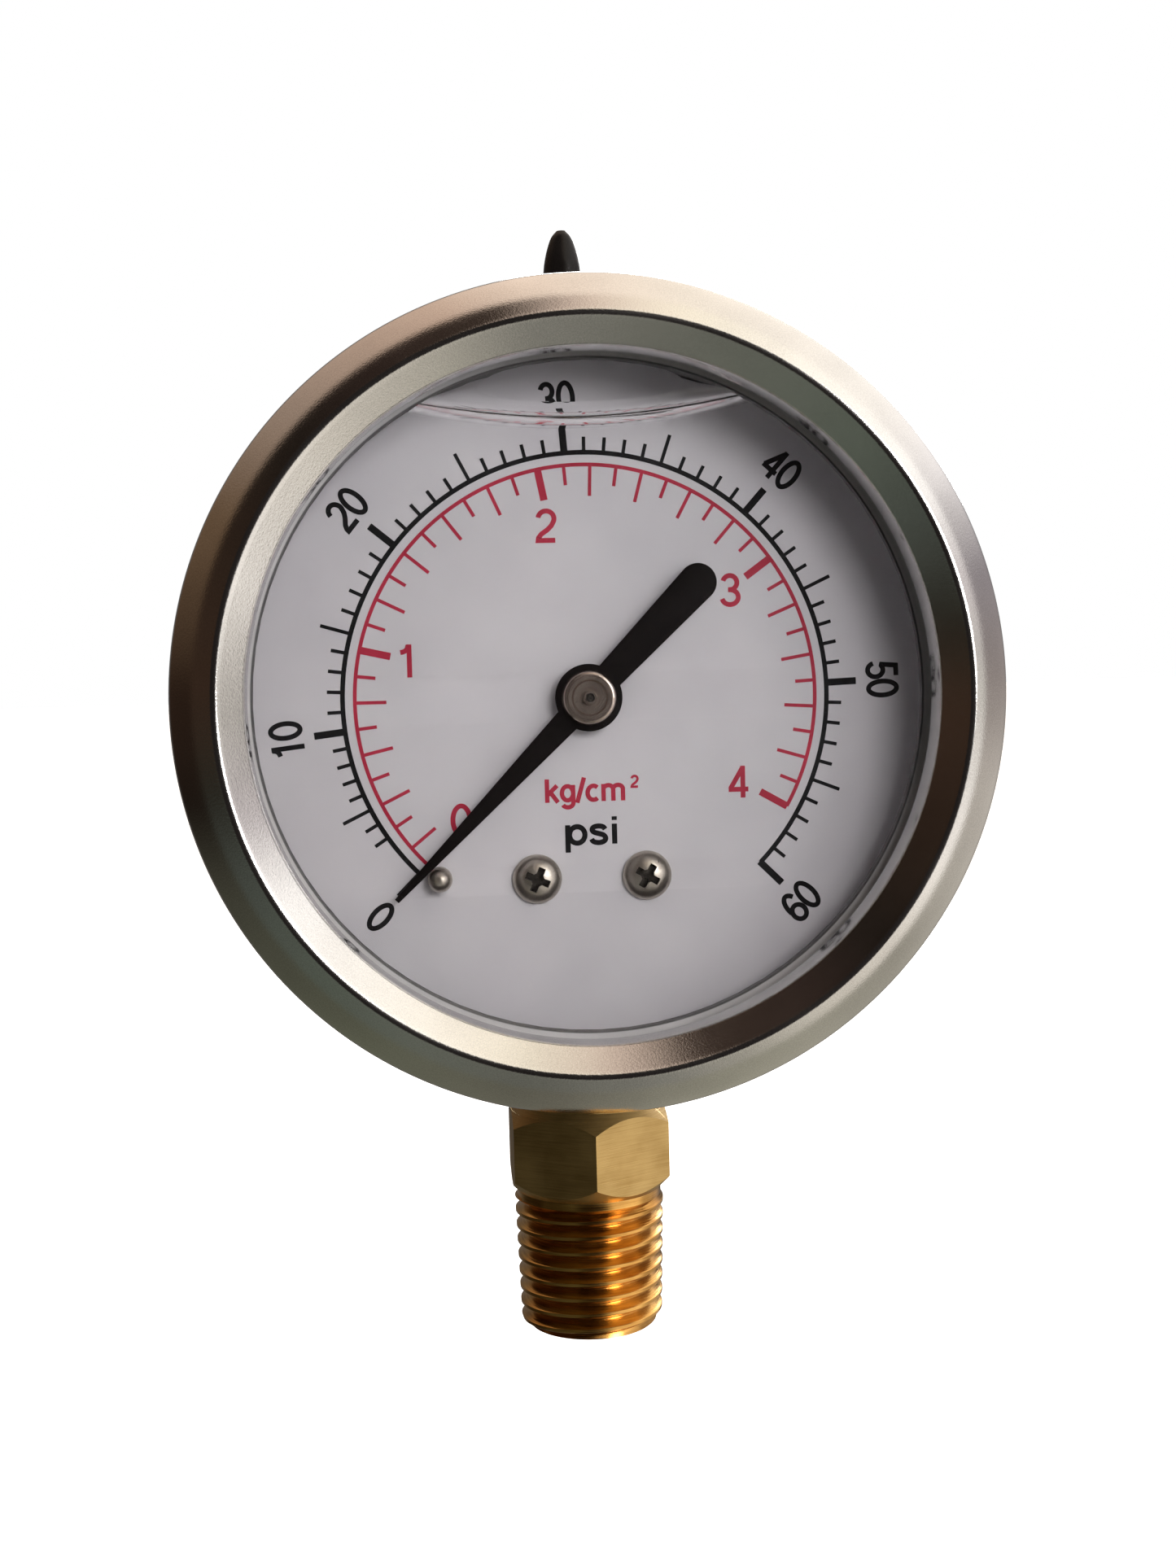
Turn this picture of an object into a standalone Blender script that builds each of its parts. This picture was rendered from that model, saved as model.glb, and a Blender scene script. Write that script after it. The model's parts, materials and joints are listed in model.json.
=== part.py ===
"""Liquid-filled pressure gauge with a bottom pipe connection, as separate pieces that could be
taken apart on a bench. Run with: blender --background --python part.py

Frame: +Z up, the dial faces -Y, +X to the right of someone reading it. The origin is the centre
of the thread's end face, on the stem's axis. Lengths below are in millimetres and angles in
degrees. "Dial plane" coordinates are (x, z) measured from the pointer's axis.
"""

import math

import bmesh
import bpy
from mathutils import Matrix, Vector

MM = 0.001

# ---- driving dimensions -------------------------------------------------------------------
AXIS_Z = 57.5  # height of the pointer's axis above the thread's end face

# bezel and case: stations along Y, front to back
CREST_Y = -22.0  # the bezel's front edge
CREST_R = 30.2
LIP_R = 27.9  # the throat through which the dial is seen
BEZEL_R = 34.0
BEZEL_BACK_Y = -11.9
BEZEL_SHEET = 0.6
CREST_BEND, SHOULDER_BEND = 0.8, 1.6  # outer radii of the bezel's bends
CONE_TILT = -45.0  # the inner cone's normal, from the front outwards
BAND_TILT = (30.0, 58.0)  # the same for the two edges of the outer band
WINDOW_R = 33.1
WINDOW_Y = (-17.15, -14.65)
GASKET_R = (27.7, 33.0)
GASKET_Y = (-14.55, -13.35)
CASE_R = 31.0
CASE_SHEET = 0.6
CASE_BACK_Y = 10.0
CASE_CORNER = 2.5
FLANGE_R = 33.1
FLANGE_Y = (-13.25, -12.65)

# dial and pointer
DIAL_R = 29.0
DIAL_Y = (-7.7, -7.2)
DIAL_SCREW_X, DIAL_SCREW_Z = 4.7, -15.3
SCREW_HEAD_R, SCREW_HEAD_H = 2.1, 1.25
SCREW_TURN = {"dial_screw_left": 24.0, "dial_screw_right": 31.0}
STOP_R, STOP_ANGLE = 19.8, -139.2  # stop pin: radius, angle clockwise from the top
STOP_PIN_R = 1.05
ZERO_ANGLE = -135.0  # where the pointer rests, clockwise from the top
POINTER_Y = (-9.7, -9.3)
NEEDLE_LENGTH, TAIL_LENGTH = 23.5, 15.0
NEEDLE_TIP_HALF, NEEDLE_ROOT_HALF = 0.22, 1.05
TAIL_ROOT_HALF, TAIL_END_R = 1.2, 1.6
POINTER_DISC_R = 2.84

# socket: stations along Z
THREAD_TOP_Z = 11.9
THREAD_R = (6.46, 6.83)  # 1/4-18 NPT major radius at the end and at the neck
NECK_R = 6.6
HEX_Z = (13.0, 20.0)
HEX_FLAT = 14.0
CLIP_GROOVE_R = 6.0
CLIP_Z = (24.9, 25.8)
STEM_R = 8.1  # the part of the socket that fills the case's collar
COLLAR_R = (8.3, 9.3)
COLLAR_Z = (25.9, 28.15)
SEAL_GROOVE_Z, SEAL_GROOVE_R, SEAL_WIRE_R = (26.35, 27.65), 7.1, 0.56
SHOULDER_Z = (28.7, 30.4)
SHOULDER_HALF = (9.6, 6.9)
BLOCK_TOP_Z = 45.0
BLOCK_HALF_X = 7.0
BLOCK_Y = (-6.9, 4.2)
LEDGE_Z, LEDGE_Y = 39.5, 0.3  # the back of the block's upper part, where the movement is fixed
BORE_R, BORE_DEPTH = 2.5, 12.0
PASSAGE_R, PASSAGE_TOP_Z = 1.5, 37.2

# filling plug on top of the case
PLUG_Y = 2.5
PLUG_HOLE_R = 4.0

# Bourdon tube: a C around the pointer's axis, from the block clockwise to the tip
TUBE_R = 21.0
TUBE_THICK, TUBE_WIDTH, TUBE_WALL = 2.6, 7.2, 0.35
TUBE_MID_Y = -1.0
TUBE_START, TUBE_END = 261.8, 20.0  # degrees from +X towards +Z

# movement
PINION_TEETH, SECTOR_TEETH_FULL = 10, 110
MODULE = 0.25
SECTOR_CENTRE_ANGLE = -30.0  # where the sector's arbor lies, seen from the pointer's axis
TAIL_ARM, TAIL_ANGLE = 7.0, -270.0 / 11 / 2
TIP_PIN = (20.7, 1.6)
FLEX_CENTRE = (-6.706, 6.648)  # the fixed point about which the tube's end turns as it uncoils
FRONT_PLATE_Y = (-5.9, -5.1)
BACK_PLATE_Y = (0.4, 1.4)
SECTOR_Y = (-2.2, -1.2)
LINK_Y = (-3.35, -2.35)
PINION_Y = (-2.9, -0.6)
SPRING_Y = (-4.5, -3.7)
SHAFT_R, PIVOT_HOLE_R = 0.5, 0.56
PILLARS = {"left": (-6.8, -3.5), "top": (4.0, 7.0), "low": (4.5, -9.6)}
POST_AT = (-1.97, 5.4)
MOVEMENT_SCREW_X, MOVEMENT_SCREW_Z = 3.2, -14.9

PRESS_GAP = 0.1  # left between pieces that touch
ROUND_STEPS = 72
SMALL_STEPS = 24

PARTS = None
TOOLS = None

# ---- materials ----------------------------------------------------------------------------
FINISHES = {
    "stainless": ((0.60, 0.59, 0.56), 0.34, 1.0),
    "brass": ((0.71, 0.50, 0.24), 0.30, 1.0),
    "bronze": ((0.66, 0.42, 0.26), 0.36, 1.0),
    "nickel": ((0.68, 0.66, 0.62), 0.25, 1.0),
    "dial_white": ((0.72, 0.71, 0.72), 0.55, 0.0),
    "pointer_black": ((0.012, 0.012, 0.012), 0.45, 0.0),
    "clear": ((0.90, 0.92, 0.92), 0.05, 0.0),
    "gasket_grey": ((0.42, 0.41, 0.41), 0.60, 0.0),
    "rubber_black": ((0.015, 0.015, 0.016), 0.30, 0.0),
    "spring_steel": ((0.46, 0.46, 0.50), 0.28, 1.0),
}


def finish(name):
    """The named material, made the first time it is asked for."""
    made = bpy.data.materials.get(name)
    if made:
        return made
    colour, roughness, metallic = FINISHES[name]
    made = bpy.data.materials.new(name)
    made.use_nodes = True
    shader = made.node_tree.nodes["Principled BSDF"]
    shader.inputs["Base Color"].default_value = (*colour, 1.0)
    shader.inputs["Roughness"].default_value = roughness
    shader.inputs["Metallic"].default_value = metallic
    if name == "clear":
        shader.inputs["Transmission Weight"].default_value = 1.0
    return made


# ---- making shapes ------------------------------------------------------------------------
def placed(name, data, surface, matrix=None):
    """A new object in the parts' collection, or in the tools' collection if surface is None."""
    made = bpy.data.objects.new(name, data)
    if surface is None:
        TOOLS.objects.link(made)
        made.hide_render = True
        made.display_type = "WIRE"
    else:
        PARTS.objects.link(made)
        data.materials.append(finish(surface))
    if matrix is not None:
        made.matrix_world = matrix
    return made


def along_y(x=0.0, z=0.0):
    """Placement of a shape whose local +Z points to the front, on an axis parallel to Y."""
    return Matrix.Translation(Vector((x, 0, z)) * MM) @ Matrix.Rotation(math.pi / 2, 4, "X")


def along_z(x=0.0, y=0.0):
    return Matrix.Translation(Vector((x, y, 0)) * MM)


def signed_area(points):
    following = points[1:] + points[:1]
    return sum(a[0] * b[1] - b[0] * a[1] for a, b in zip(points, following)) / 2


def turned(name, profile, surface, matrix, steps=ROUND_STEPS):
    """Profile points are (radius, height along the local +Z) in millimetres. It is a closed
    outline, or one that starts and ends on the axis."""
    if signed_area(profile) > 0:
        profile = profile[::-1]
    mesh = bpy.data.meshes.new(name)
    count = len(profile)
    on_axis = profile[0][0] == 0 and profile[-1][0] == 0
    edges = [(i, (i + 1) % count) for i in range(count - 1 if on_axis else count)]
    mesh.from_pydata([(r * MM, 0, h * MM) for r, h in profile], edges, [])
    made = placed(name, mesh, surface, matrix)
    screw = made.modifiers.new("Turn", "SCREW")
    screw.axis = "Z"
    screw.angle = math.tau
    screw.steps = screw.render_steps = steps
    screw.use_merge_vertices = True
    screw.merge_threshold = 0.00001
    screw.use_smooth_shade = True
    return made


def turned_y(name, profile, surface, x=0.0, z=AXIS_Z, steps=ROUND_STEPS):
    """A turned piece on an axis parallel to Y, its profile as (radius, station y)."""
    return turned(name, [(r, -y) for r, y in profile], surface, along_y(x, z), steps)


def disc_y(name, radius, y, surface, x=0.0, z=AXIS_Z, steps=SMALL_STEPS):
    """A plain cylinder between two stations along Y."""
    return turned_y(name, [(0, y[0]), (radius, y[0]), (radius, y[1]), (0, y[1])], surface, x, z, steps)


def disc_z(name, radius, z, surface, x=0.0, y=0.0, steps=SMALL_STEPS):
    profile = [(0, z[1]), (radius, z[1]), (radius, z[0]), (0, z[0])]
    return turned(name, profile, surface, along_z(x, y), steps)


def box(name, low, high, surface=None):
    mesh = bpy.data.meshes.new(name)
    cube = bmesh.new()
    bmesh.ops.create_cube(cube, size=1.0)
    cube.to_mesh(mesh)
    cube.free()
    low, high = Vector(low) * MM, Vector(high) * MM
    mesh.transform(Matrix.Translation((low + high) / 2) @ Matrix.Diagonal((*(high - low), 1)))
    return placed(name, mesh, surface)


def flat(name, outlines, y, surface, x=0.0, z=AXIS_Z):
    """A plate cut from closed outlines of (x, z) points, the first its edge and the others its
    holes, between two stations along Y. It ends up as a mesh, so that it can be cut."""
    curve = bpy.data.curves.new(name, "CURVE")
    curve.dimensions = "2D"
    curve.fill_mode = "BOTH"
    curve.extrude = (y[1] - y[0]) / 2 * MM
    for outline in outlines:
        spline = curve.splines.new("POLY")
        spline.points.add(len(outline) - 1)
        for point, (across, up) in zip(spline.points, outline):
            point.co = (across * MM, up * MM, 0, 1)
        spline.use_cyclic_u = True
    sketch = placed(name + "_sketch", curve, None, along_y(x, z))
    bpy.context.view_layer.update()
    graph = bpy.context.evaluated_depsgraph_get()
    mesh = bpy.data.meshes.new_from_object(sketch.evaluated_get(graph))
    work = bmesh.new()
    work.from_mesh(mesh)
    bmesh.ops.remove_doubles(work, verts=work.verts, dist=1e-7)
    bmesh.ops.recalc_face_normals(work, faces=work.faces)
    work.to_mesh(mesh)
    work.free()
    mesh.name = name
    middle = Matrix.Translation(Vector((0, (y[0] + y[1]) / 2, 0)) * MM)
    made = placed(name, mesh, surface, middle @ sketch.matrix_world)
    bpy.data.objects.remove(sketch)
    bpy.data.curves.remove(curve)
    return made


def combine(made, tool, operation="DIFFERENCE"):
    """Cuts the tool from the piece, or joins it on. The tool's object is hidden from renders."""
    step = made.modifiers.new(tool.name, "BOOLEAN")
    step.operation = operation
    step.object = tool
    step.solver = "EXACT"
    return made


def circle(radius, at=(0.0, 0.0), steps=SMALL_STEPS):
    turn = math.tau / steps
    return [
        (at[0] + radius * math.cos(i * turn), at[1] + radius * math.sin(i * turn))
        for i in range(steps)
    ]


def arc(radius, start, end, steps, at=(0.0, 0.0)):
    """Points from one angle to the other, in degrees from the first coordinate's axis."""
    angles = [math.radians(start + (end - start) * i / steps) for i in range(steps + 1)]
    return [(at[0] + radius * math.cos(a), at[1] + radius * math.sin(a)) for a in angles]


def polar(radius, degrees):
    return radius * math.cos(math.radians(degrees)), radius * math.sin(math.radians(degrees))


def from_top(radius, clockwise):
    """A dial plane point at an angle clockwise from the top, as on a clock's face."""
    return polar(radius, 90 - clockwise)


def hull(discs, steps=SMALL_STEPS):
    """The outline of a band pulled tight round some discs, each given as (x, z, radius)."""
    points = sorted({p for x, z, r in discs for p in circle(r, (x, z), steps)})

    def side(run):
        kept = []
        for p in run:
            while len(kept) > 1 and signed_area([kept[-2], kept[-1], p]) <= 0:
                kept.pop()
            kept.append(p)
        return kept[:-1]

    return side(points) + side(points[::-1])


# ---- case, bezel, window ------------------------------------------------------------------
def make_case():
    inner, back = CASE_R - CASE_SHEET, CASE_BACK_Y
    bend_at = (CASE_R - CASE_CORNER, back - CASE_CORNER)
    outer_bend = arc(CASE_CORNER, 0, 90, 4, bend_at)
    inner_bend = arc(CASE_CORNER - CASE_SHEET, 90, 0, 3, bend_at)
    profile = (
        [(0, back - CASE_SHEET)]
        + inner_bend
        + [(inner, FLANGE_Y[0]), (FLANGE_R, FLANGE_Y[0]), (FLANGE_R, FLANGE_Y[1]), (CASE_R, FLANGE_Y[1])]
        + outer_bend
        + [(0, back)]
    )
    case = turned_y("case", profile, "stainless")
    ring = [(COLLAR_R[0] - 0.6, COLLAR_Z[1]), (COLLAR_R[1], COLLAR_Z[1])]
    ring += [(COLLAR_R[1], COLLAR_Z[0]), (COLLAR_R[0] - 0.6, COLLAR_Z[0])]
    combine(case, turned("collar", ring, None, along_z(), 46), "UNION")
    combine(case, disc_z("stem_hole", COLLAR_R[0], (20, 35), None, steps=46))
    top = AXIS_Z + CASE_R
    combine(case, disc_z("filling_hole", PLUG_HOLE_R, (top - 6, top + 4), None, y=PLUG_Y))


def bezel_bends(inset):
    """Stations of the bezel's front, from the inner cone over the crest to the side wall. The
    inset is how far inside the outer surface they lie."""

    def bend(centre, radius, start, end, steps):
        return arc(radius - inset, start - 90, end - 90, steps, centre)

    def carried_on(centre, change, tilt):
        return [c + change * d for c, d in zip(centre, polar(1, tilt - 90))]

    start, end = BAND_TILT
    sine, last_sine = math.sin(math.radians(start)), math.sin(math.radians(end))
    reach = BEZEL_R - CREST_R - SHOULDER_BEND * (1 - last_sine) - CREST_BEND * sine
    band = reach / (last_sine - sine)
    crest = (CREST_R, CREST_Y + CREST_BEND)
    slope = carried_on(crest, CREST_BEND - band, start)
    shoulder = carried_on(slope, band - SHOULDER_BEND, end)
    points = bend(crest, CREST_BEND, CONE_TILT, start, 4)
    points += bend(slope, band, start, end, 3)[1:]
    return points + bend(shoulder, SHOULDER_BEND, end, 90, 3)[1:]


def make_bezel():
    """Pressed from one sheet: a throat down to the window, a cone, the crest, a sloping band, and
    a wall that is curled in behind the case's flange."""
    wall, back = BEZEL_R - BEZEL_SHEET, BEZEL_BACK_Y
    outside, inside = bezel_bends(0), bezel_bends(BEZEL_SHEET)
    curl = [
        (BEZEL_R, back - 1.3),
        (BEZEL_R - 0.3, back - 0.4),
        (BEZEL_R - 0.9, back),
        (CASE_R + 0.6, back),
        (CASE_R + 0.6, back - BEZEL_SHEET),
        (wall - 0.3, back - BEZEL_SHEET),
        (wall, back - BEZEL_SHEET - 0.3),
    ]
    end = WINDOW_Y[0] - PRESS_GAP
    outer_throat = LIP_R + BEZEL_SHEET
    throat = [
        (outer_throat, inside[0][1] + inside[0][0] - outer_throat),
        (outer_throat, end),
        (LIP_R, end),
        (LIP_R, outside[0][1] + outside[0][0] - LIP_R),
    ]
    turned_y("bezel", outside + curl + inside[::-1] + throat, "stainless")


def make_window():
    front, back = WINDOW_Y
    chamfer = 0.25
    profile = [(0, front), (WINDOW_R - chamfer, front), (WINDOW_R, front + chamfer)]
    profile += [(WINDOW_R, back - chamfer), (WINDOW_R - chamfer, back), (0, back)]
    turned_y("window", profile, "clear")
    (inner, outer), (front, back) = GASKET_R, GASKET_Y
    ring = [(inner, front), (outer, front), (outer, back), (inner, back)]
    turned_y("window_gasket", ring, "gasket_grey")


def make_filling_plug():
    """Rubber plug: a flange that follows the case's curve, a snip-off nipple, and a barb inside."""
    top = AXIS_Z + CASE_R
    tip = AXIS_Z + 42.05
    outer = [(0, tip), (0.45, tip - 0.1), (0.95, tip - 0.7), (1.35, tip - 1.8), (1.62, tip - 3.0)]
    outer += [(1.75, tip - 4.1), (1.95, tip - 4.9), (2.5, tip - 6.0), (3.6, tip - 7.8)]
    outer += [(5.2, tip - 8.4), (5.6, tip - 9.0), (5.6, top - 1.2), (0, top - 1.2)]
    plug = turned("filling_plug", outer, "rubber_black", along_z(0, PLUG_Y), 32)
    round_y = [(0, -12), (CASE_R + PRESS_GAP, -12), (CASE_R + PRESS_GAP, 12), (0, 12)]
    combine(plug, turned_y("case_round", round_y, None))
    barb = [(0, top + 0.8), (PLUG_HOLE_R - 0.15, top + 0.8), (PLUG_HOLE_R - 0.15, top - 1.3)]
    barb += [(4.7, top - 1.3), (4.7, top - 1.8), (3.9, top - 2.7), (0, top - 2.7)]
    combine(plug, turned("plug_barb", barb, None, along_z(0, PLUG_Y), 32), "UNION")


# ---- socket and what holds it --------------------------------------------------------------
def make_socket():
    """Brass stem: thread, hexagon, the round that fills the collar, and the block inside."""
    corner = HEX_FLAT / 2 / math.cos(math.pi / 6)
    low, high = HEX_Z
    drop = corner - HEX_FLAT / 2
    lower = [(0, 20.9), (CLIP_GROOVE_R, 20.9), (CLIP_GROOVE_R, high + 0.9), (HEX_FLAT / 2 - 0.05, high)]
    lower += [(HEX_FLAT / 2 - 0.05, low), (NECK_R, low - 0.4), (NECK_R, THREAD_TOP_Z)]
    lower += [(THREAD_R[1], THREAD_TOP_Z - 0.25), (THREAD_R[0], 0.5), (THREAD_R[0] - 0.5, 0), (0, 0)]
    socket = turned("socket", lower, "brass", along_z(), 48)

    barrel = [(0, high), (HEX_FLAT / 2, high), (corner, high - drop * 0.95), (corner, low + drop)]
    barrel += [(HEX_FLAT / 2, low), (0, low)]
    hexagon = disc_z("hexagon", corner, (low, high), None, steps=6)
    hexagon.matrix_world = Matrix.Rotation(math.radians(30), 4, "Z")
    step = hexagon.modifiers.new("Chamfers", "BOOLEAN")
    step.operation = "INTERSECT"
    step.object = turned("hexagon_turning", barrel, None, along_z(), 48)
    combine(socket, hexagon, "UNION")

    groove_low, groove_high = SEAL_GROOVE_Z
    core = SHOULDER_HALF[1] - 0.3
    stem = [(0, SHOULDER_Z[0] + 0.5), (core, SHOULDER_Z[0] + 0.5), (core, COLLAR_Z[1] + 0.2)]
    stem += [(STEM_R, COLLAR_Z[1] + 0.2), (STEM_R, groove_high)]
    stem += [(SEAL_GROOVE_R, groove_high), (SEAL_GROOVE_R, groove_low), (STEM_R, groove_low)]
    stem += [(STEM_R, CLIP_Z[1] + 0.1), (CLIP_GROOVE_R, CLIP_Z[1] + 0.1), (CLIP_GROOVE_R, 20.5), (0, 20.5)]
    combine(socket, turned("stem", stem, None, along_z(), 48), "UNION")

    across, deep = SHOULDER_HALF
    shoulder = box("shoulder", (-across, -deep, SHOULDER_Z[0]), (across, deep, SHOULDER_Z[1]))
    combine(socket, shoulder, "UNION")
    front, back = BLOCK_Y
    block = box("block", (-BLOCK_HALF_X, front, SHOULDER_Z[1] - 0.5), (BLOCK_HALF_X, back, BLOCK_TOP_Z))
    combine(socket, block, "UNION")
    ledge = box("ledge", (-BLOCK_HALF_X - 1, LEDGE_Y, LEDGE_Z), (BLOCK_HALF_X + 1, 9, BLOCK_TOP_Z + 1))
    combine(socket, ledge)

    reach = TUBE_THICK / 2 + PRESS_GAP
    channel = arc(TUBE_R + reach, 240, 274, 6) + arc(TUBE_R - reach, 274, 240, 6)
    half = TUBE_WIDTH / 2 + PRESS_GAP
    combine(socket, flat("tube_channel", [channel], (TUBE_MID_Y - half, TUBE_MID_Y + half), None))
    combine(socket, disc_z("bore", BORE_R, (-1, BORE_DEPTH), None))
    combine(socket, disc_z("passage", PASSAGE_R, (BORE_DEPTH - 1, PASSAGE_TOP_Z), None, steps=20))
    for side in (-1, 1):
        at = (side * DIAL_SCREW_X, AXIS_Z + DIAL_SCREW_Z)
        hole = disc_y(f"dial_screw_hole_{side}", 1.15, (front - 1, -3.9), None, *at, steps=16)
        combine(socket, hole)
        at = (side * MOVEMENT_SCREW_X, AXIS_Z + MOVEMENT_SCREW_Z)
        combine(socket, disc_y(f"movement_hole_{side}", 0.85, (-2.4, 2), None, *at, steps=16))


def make_stem_fittings():
    """The O-ring in the stem's groove, the retaining ring under the collar, the restrictor."""
    mid = (SEAL_GROOVE_Z[0] + SEAL_GROOVE_Z[1]) / 2
    wire = arc(SEAL_WIRE_R, 0, 315, 7, (SEAL_GROOVE_R + 0.02 + SEAL_WIRE_R, mid))
    turned("stem_seal", wire, "rubber_black", along_z(), 36)

    inner, outer = CLIP_GROOVE_R + 0.15, 9.2
    ring = [(inner, CLIP_Z[1]), (outer, CLIP_Z[1]), (outer, CLIP_Z[0]), (inner, CLIP_Z[0])]
    clip = turned("stem_clip", ring, "spring_steel", along_z(), 36)
    combine(clip, box("clip_gap", (-2.6, 1, CLIP_Z[0] - 1), (2.6, 12, CLIP_Z[1] + 1)))

    low, high = 8.4, BORE_DEPTH - PRESS_GAP
    body = [(0.3, high), (BORE_R - 0.08, high), (BORE_R - 0.08, low), (0.3, low)]
    restrictor = turned("restrictor", body, "brass", along_z(), SMALL_STEPS)
    combine(restrictor, box("restrictor_slot", (-3, -0.3, low - 1), (3, 0.3, low + 0.7)))


# ---- dial and pointer ----------------------------------------------------------------------
def make_dial():
    holes = [circle(1.9), circle(0.62, from_top(STOP_R, STOP_ANGLE), 16)]
    holes += [circle(1.15, (side * DIAL_SCREW_X, DIAL_SCREW_Z), 16) for side in (-1, 1)]
    flat("dial", [circle(DIAL_R, steps=ROUND_STEPS)] + holes, DIAL_Y, "dial_white")

    face = DIAL_Y[0] - PRESS_GAP / 2
    for side, name in ((-1, "dial_screw_left"), (1, "dial_screw_right")):
        top = face - SCREW_HEAD_H
        profile = [(0, top), (1.2, top + 0.1), (1.75, top + 0.35), (SCREW_HEAD_R, top + 0.8)]
        profile += [(SCREW_HEAD_R, face), (1.0, face), (1.0, -4.2), (0, -4.2)]
        at = (side * DIAL_SCREW_X, AXIS_Z + DIAL_SCREW_Z)
        screw = turned_y(name, profile, "nickel", *at)
        screw.modifiers["Turn"].steps = screw.modifiers["Turn"].render_steps = 28
        for quarter in (0, 90):
            slot = box(f"{name}_cross_{quarter}", (-1.15, top - 1, -0.22), (1.15, top + 0.75, 0.22))
            turn = Matrix.Rotation(math.radians(SCREW_TURN[name] + quarter), 4, "Y")
            slot.matrix_world = Matrix.Translation(Vector((at[0], 0, at[1])) * MM) @ turn
            combine(screw, slot)

    tip = POINTER_Y[0] - 0.4
    profile = [(0, tip), (0.45, tip + 0.1), (0.82, tip + 0.4), (STOP_PIN_R, tip + 0.9), (STOP_PIN_R, face)]
    profile += [(0.5, face), (0.5, DIAL_Y[1] + 0.3), (0, DIAL_Y[1] + 0.3)]
    x, z = from_top(STOP_R, STOP_ANGLE)
    turned_y("stop_pin", profile, "nickel", x, AXIS_Z + z, SMALL_STEPS)


def pointer_outline():
    """The pointer as if it pointed up: disc, tapered needle, and tail with a round end."""
    disc_z_at = math.sqrt(POINTER_DISC_R**2 - NEEDLE_ROOT_HALF**2)
    tail_z_at = math.sqrt(POINTER_DISC_R**2 - TAIL_ROOT_HALF**2)
    right = [(NEEDLE_TIP_HALF, NEEDLE_LENGTH), (NEEDLE_ROOT_HALF, disc_z_at)]
    start = math.degrees(math.atan2(disc_z_at, NEEDLE_ROOT_HALF))
    end = math.degrees(math.atan2(-tail_z_at, TAIL_ROOT_HALF))
    right += arc(POINTER_DISC_R, start, end, 7)[1:]
    right += arc(TAIL_END_R, 0, -80, 6, (0, TAIL_END_R - TAIL_LENGTH))
    left = [(-x, z) for x, z in reversed(right)]
    return right + [(0, -TAIL_LENGTH)] + left


def turn_clockwise(points, degrees):
    cosine, sine = math.cos(math.radians(degrees)), math.sin(math.radians(degrees))
    return [(x * cosine + z * sine, z * cosine - x * sine) for x, z in points]


def make_pointer():
    outline = turn_clockwise(pointer_outline(), ZERO_ANGLE)
    flat("pointer", [outline, circle(1.5)], POINTER_Y, "pointer_black")

    front, back = POINTER_Y
    head, nose = front - PRESS_GAP / 2, front - 1.2
    hub = [(PIVOT_HOLE_R, nose), (2.05, nose), (2.15, nose + 0.12), (2.35, head - 0.25), (2.35, head)]
    hub += [(1.42, head), (1.42, back + 0.05), (1.9, back + 0.05), (1.9, back + 0.5)]
    hub += [(PIVOT_HOLE_R, back + 0.5)]
    turned_y("pointer_hub", hub, "nickel", steps=28)

    end = BACK_PLATE_Y[1] - 0.1
    staff = [(0, nose - 0.1), (0.35, nose - 0.1), (SHAFT_R, nose + 0.1), (SHAFT_R, end), (0, end)]
    shaft = turned_y("pinion_staff", staff, "nickel", steps=20)
    pinion = flat("pinion", [gear_outline(PINION_TEETH, PINION_TEETH, 0, -30 + 18)], PINION_Y, None)
    combine(shaft, pinion, "UNION")

    collet = [(PIVOT_HOLE_R, -4.75), (1.3, -4.75), (1.3, -3.45), (PIVOT_HOLE_R, -3.45)]
    turned_y("hairspring_collet", collet, "brass", steps=20)


# ---- movement ------------------------------------------------------------------------------
def gear_outline(full, count, first, phase):
    """Tooth points of a gear with full teeth in a whole turn, for teeth first to first+count-1.
    Tooth 0 is centred on the phase angle. Flanks are straight and leave generous backlash."""
    pitch = full * MODULE / 2
    tip, root = pitch + MODULE, pitch - 1.3 * MODULE
    half_widths = ((root, 0.21), (pitch, 0.15), (tip, 0.075))
    points = []
    for tooth in range(first, first + count):
        centre = phase + tooth * 360.0 / full
        flank = [(radius, math.degrees(half / radius)) for radius, half in half_widths]
        points += [polar(radius, centre - half) for radius, half in flank]
        points += [polar(radius, centre + half) for radius, half in reversed(flank)]
    return points


def sector_centre():
    distance = (PINION_TEETH + SECTOR_TEETH_FULL) * MODULE / 2
    return polar(distance, SECTOR_CENTRE_ANGLE)


def tail_pin_at():
    x, z = sector_centre()
    across, up = polar(TAIL_ARM, TAIL_ANGLE)
    return x + across, z + up


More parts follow.
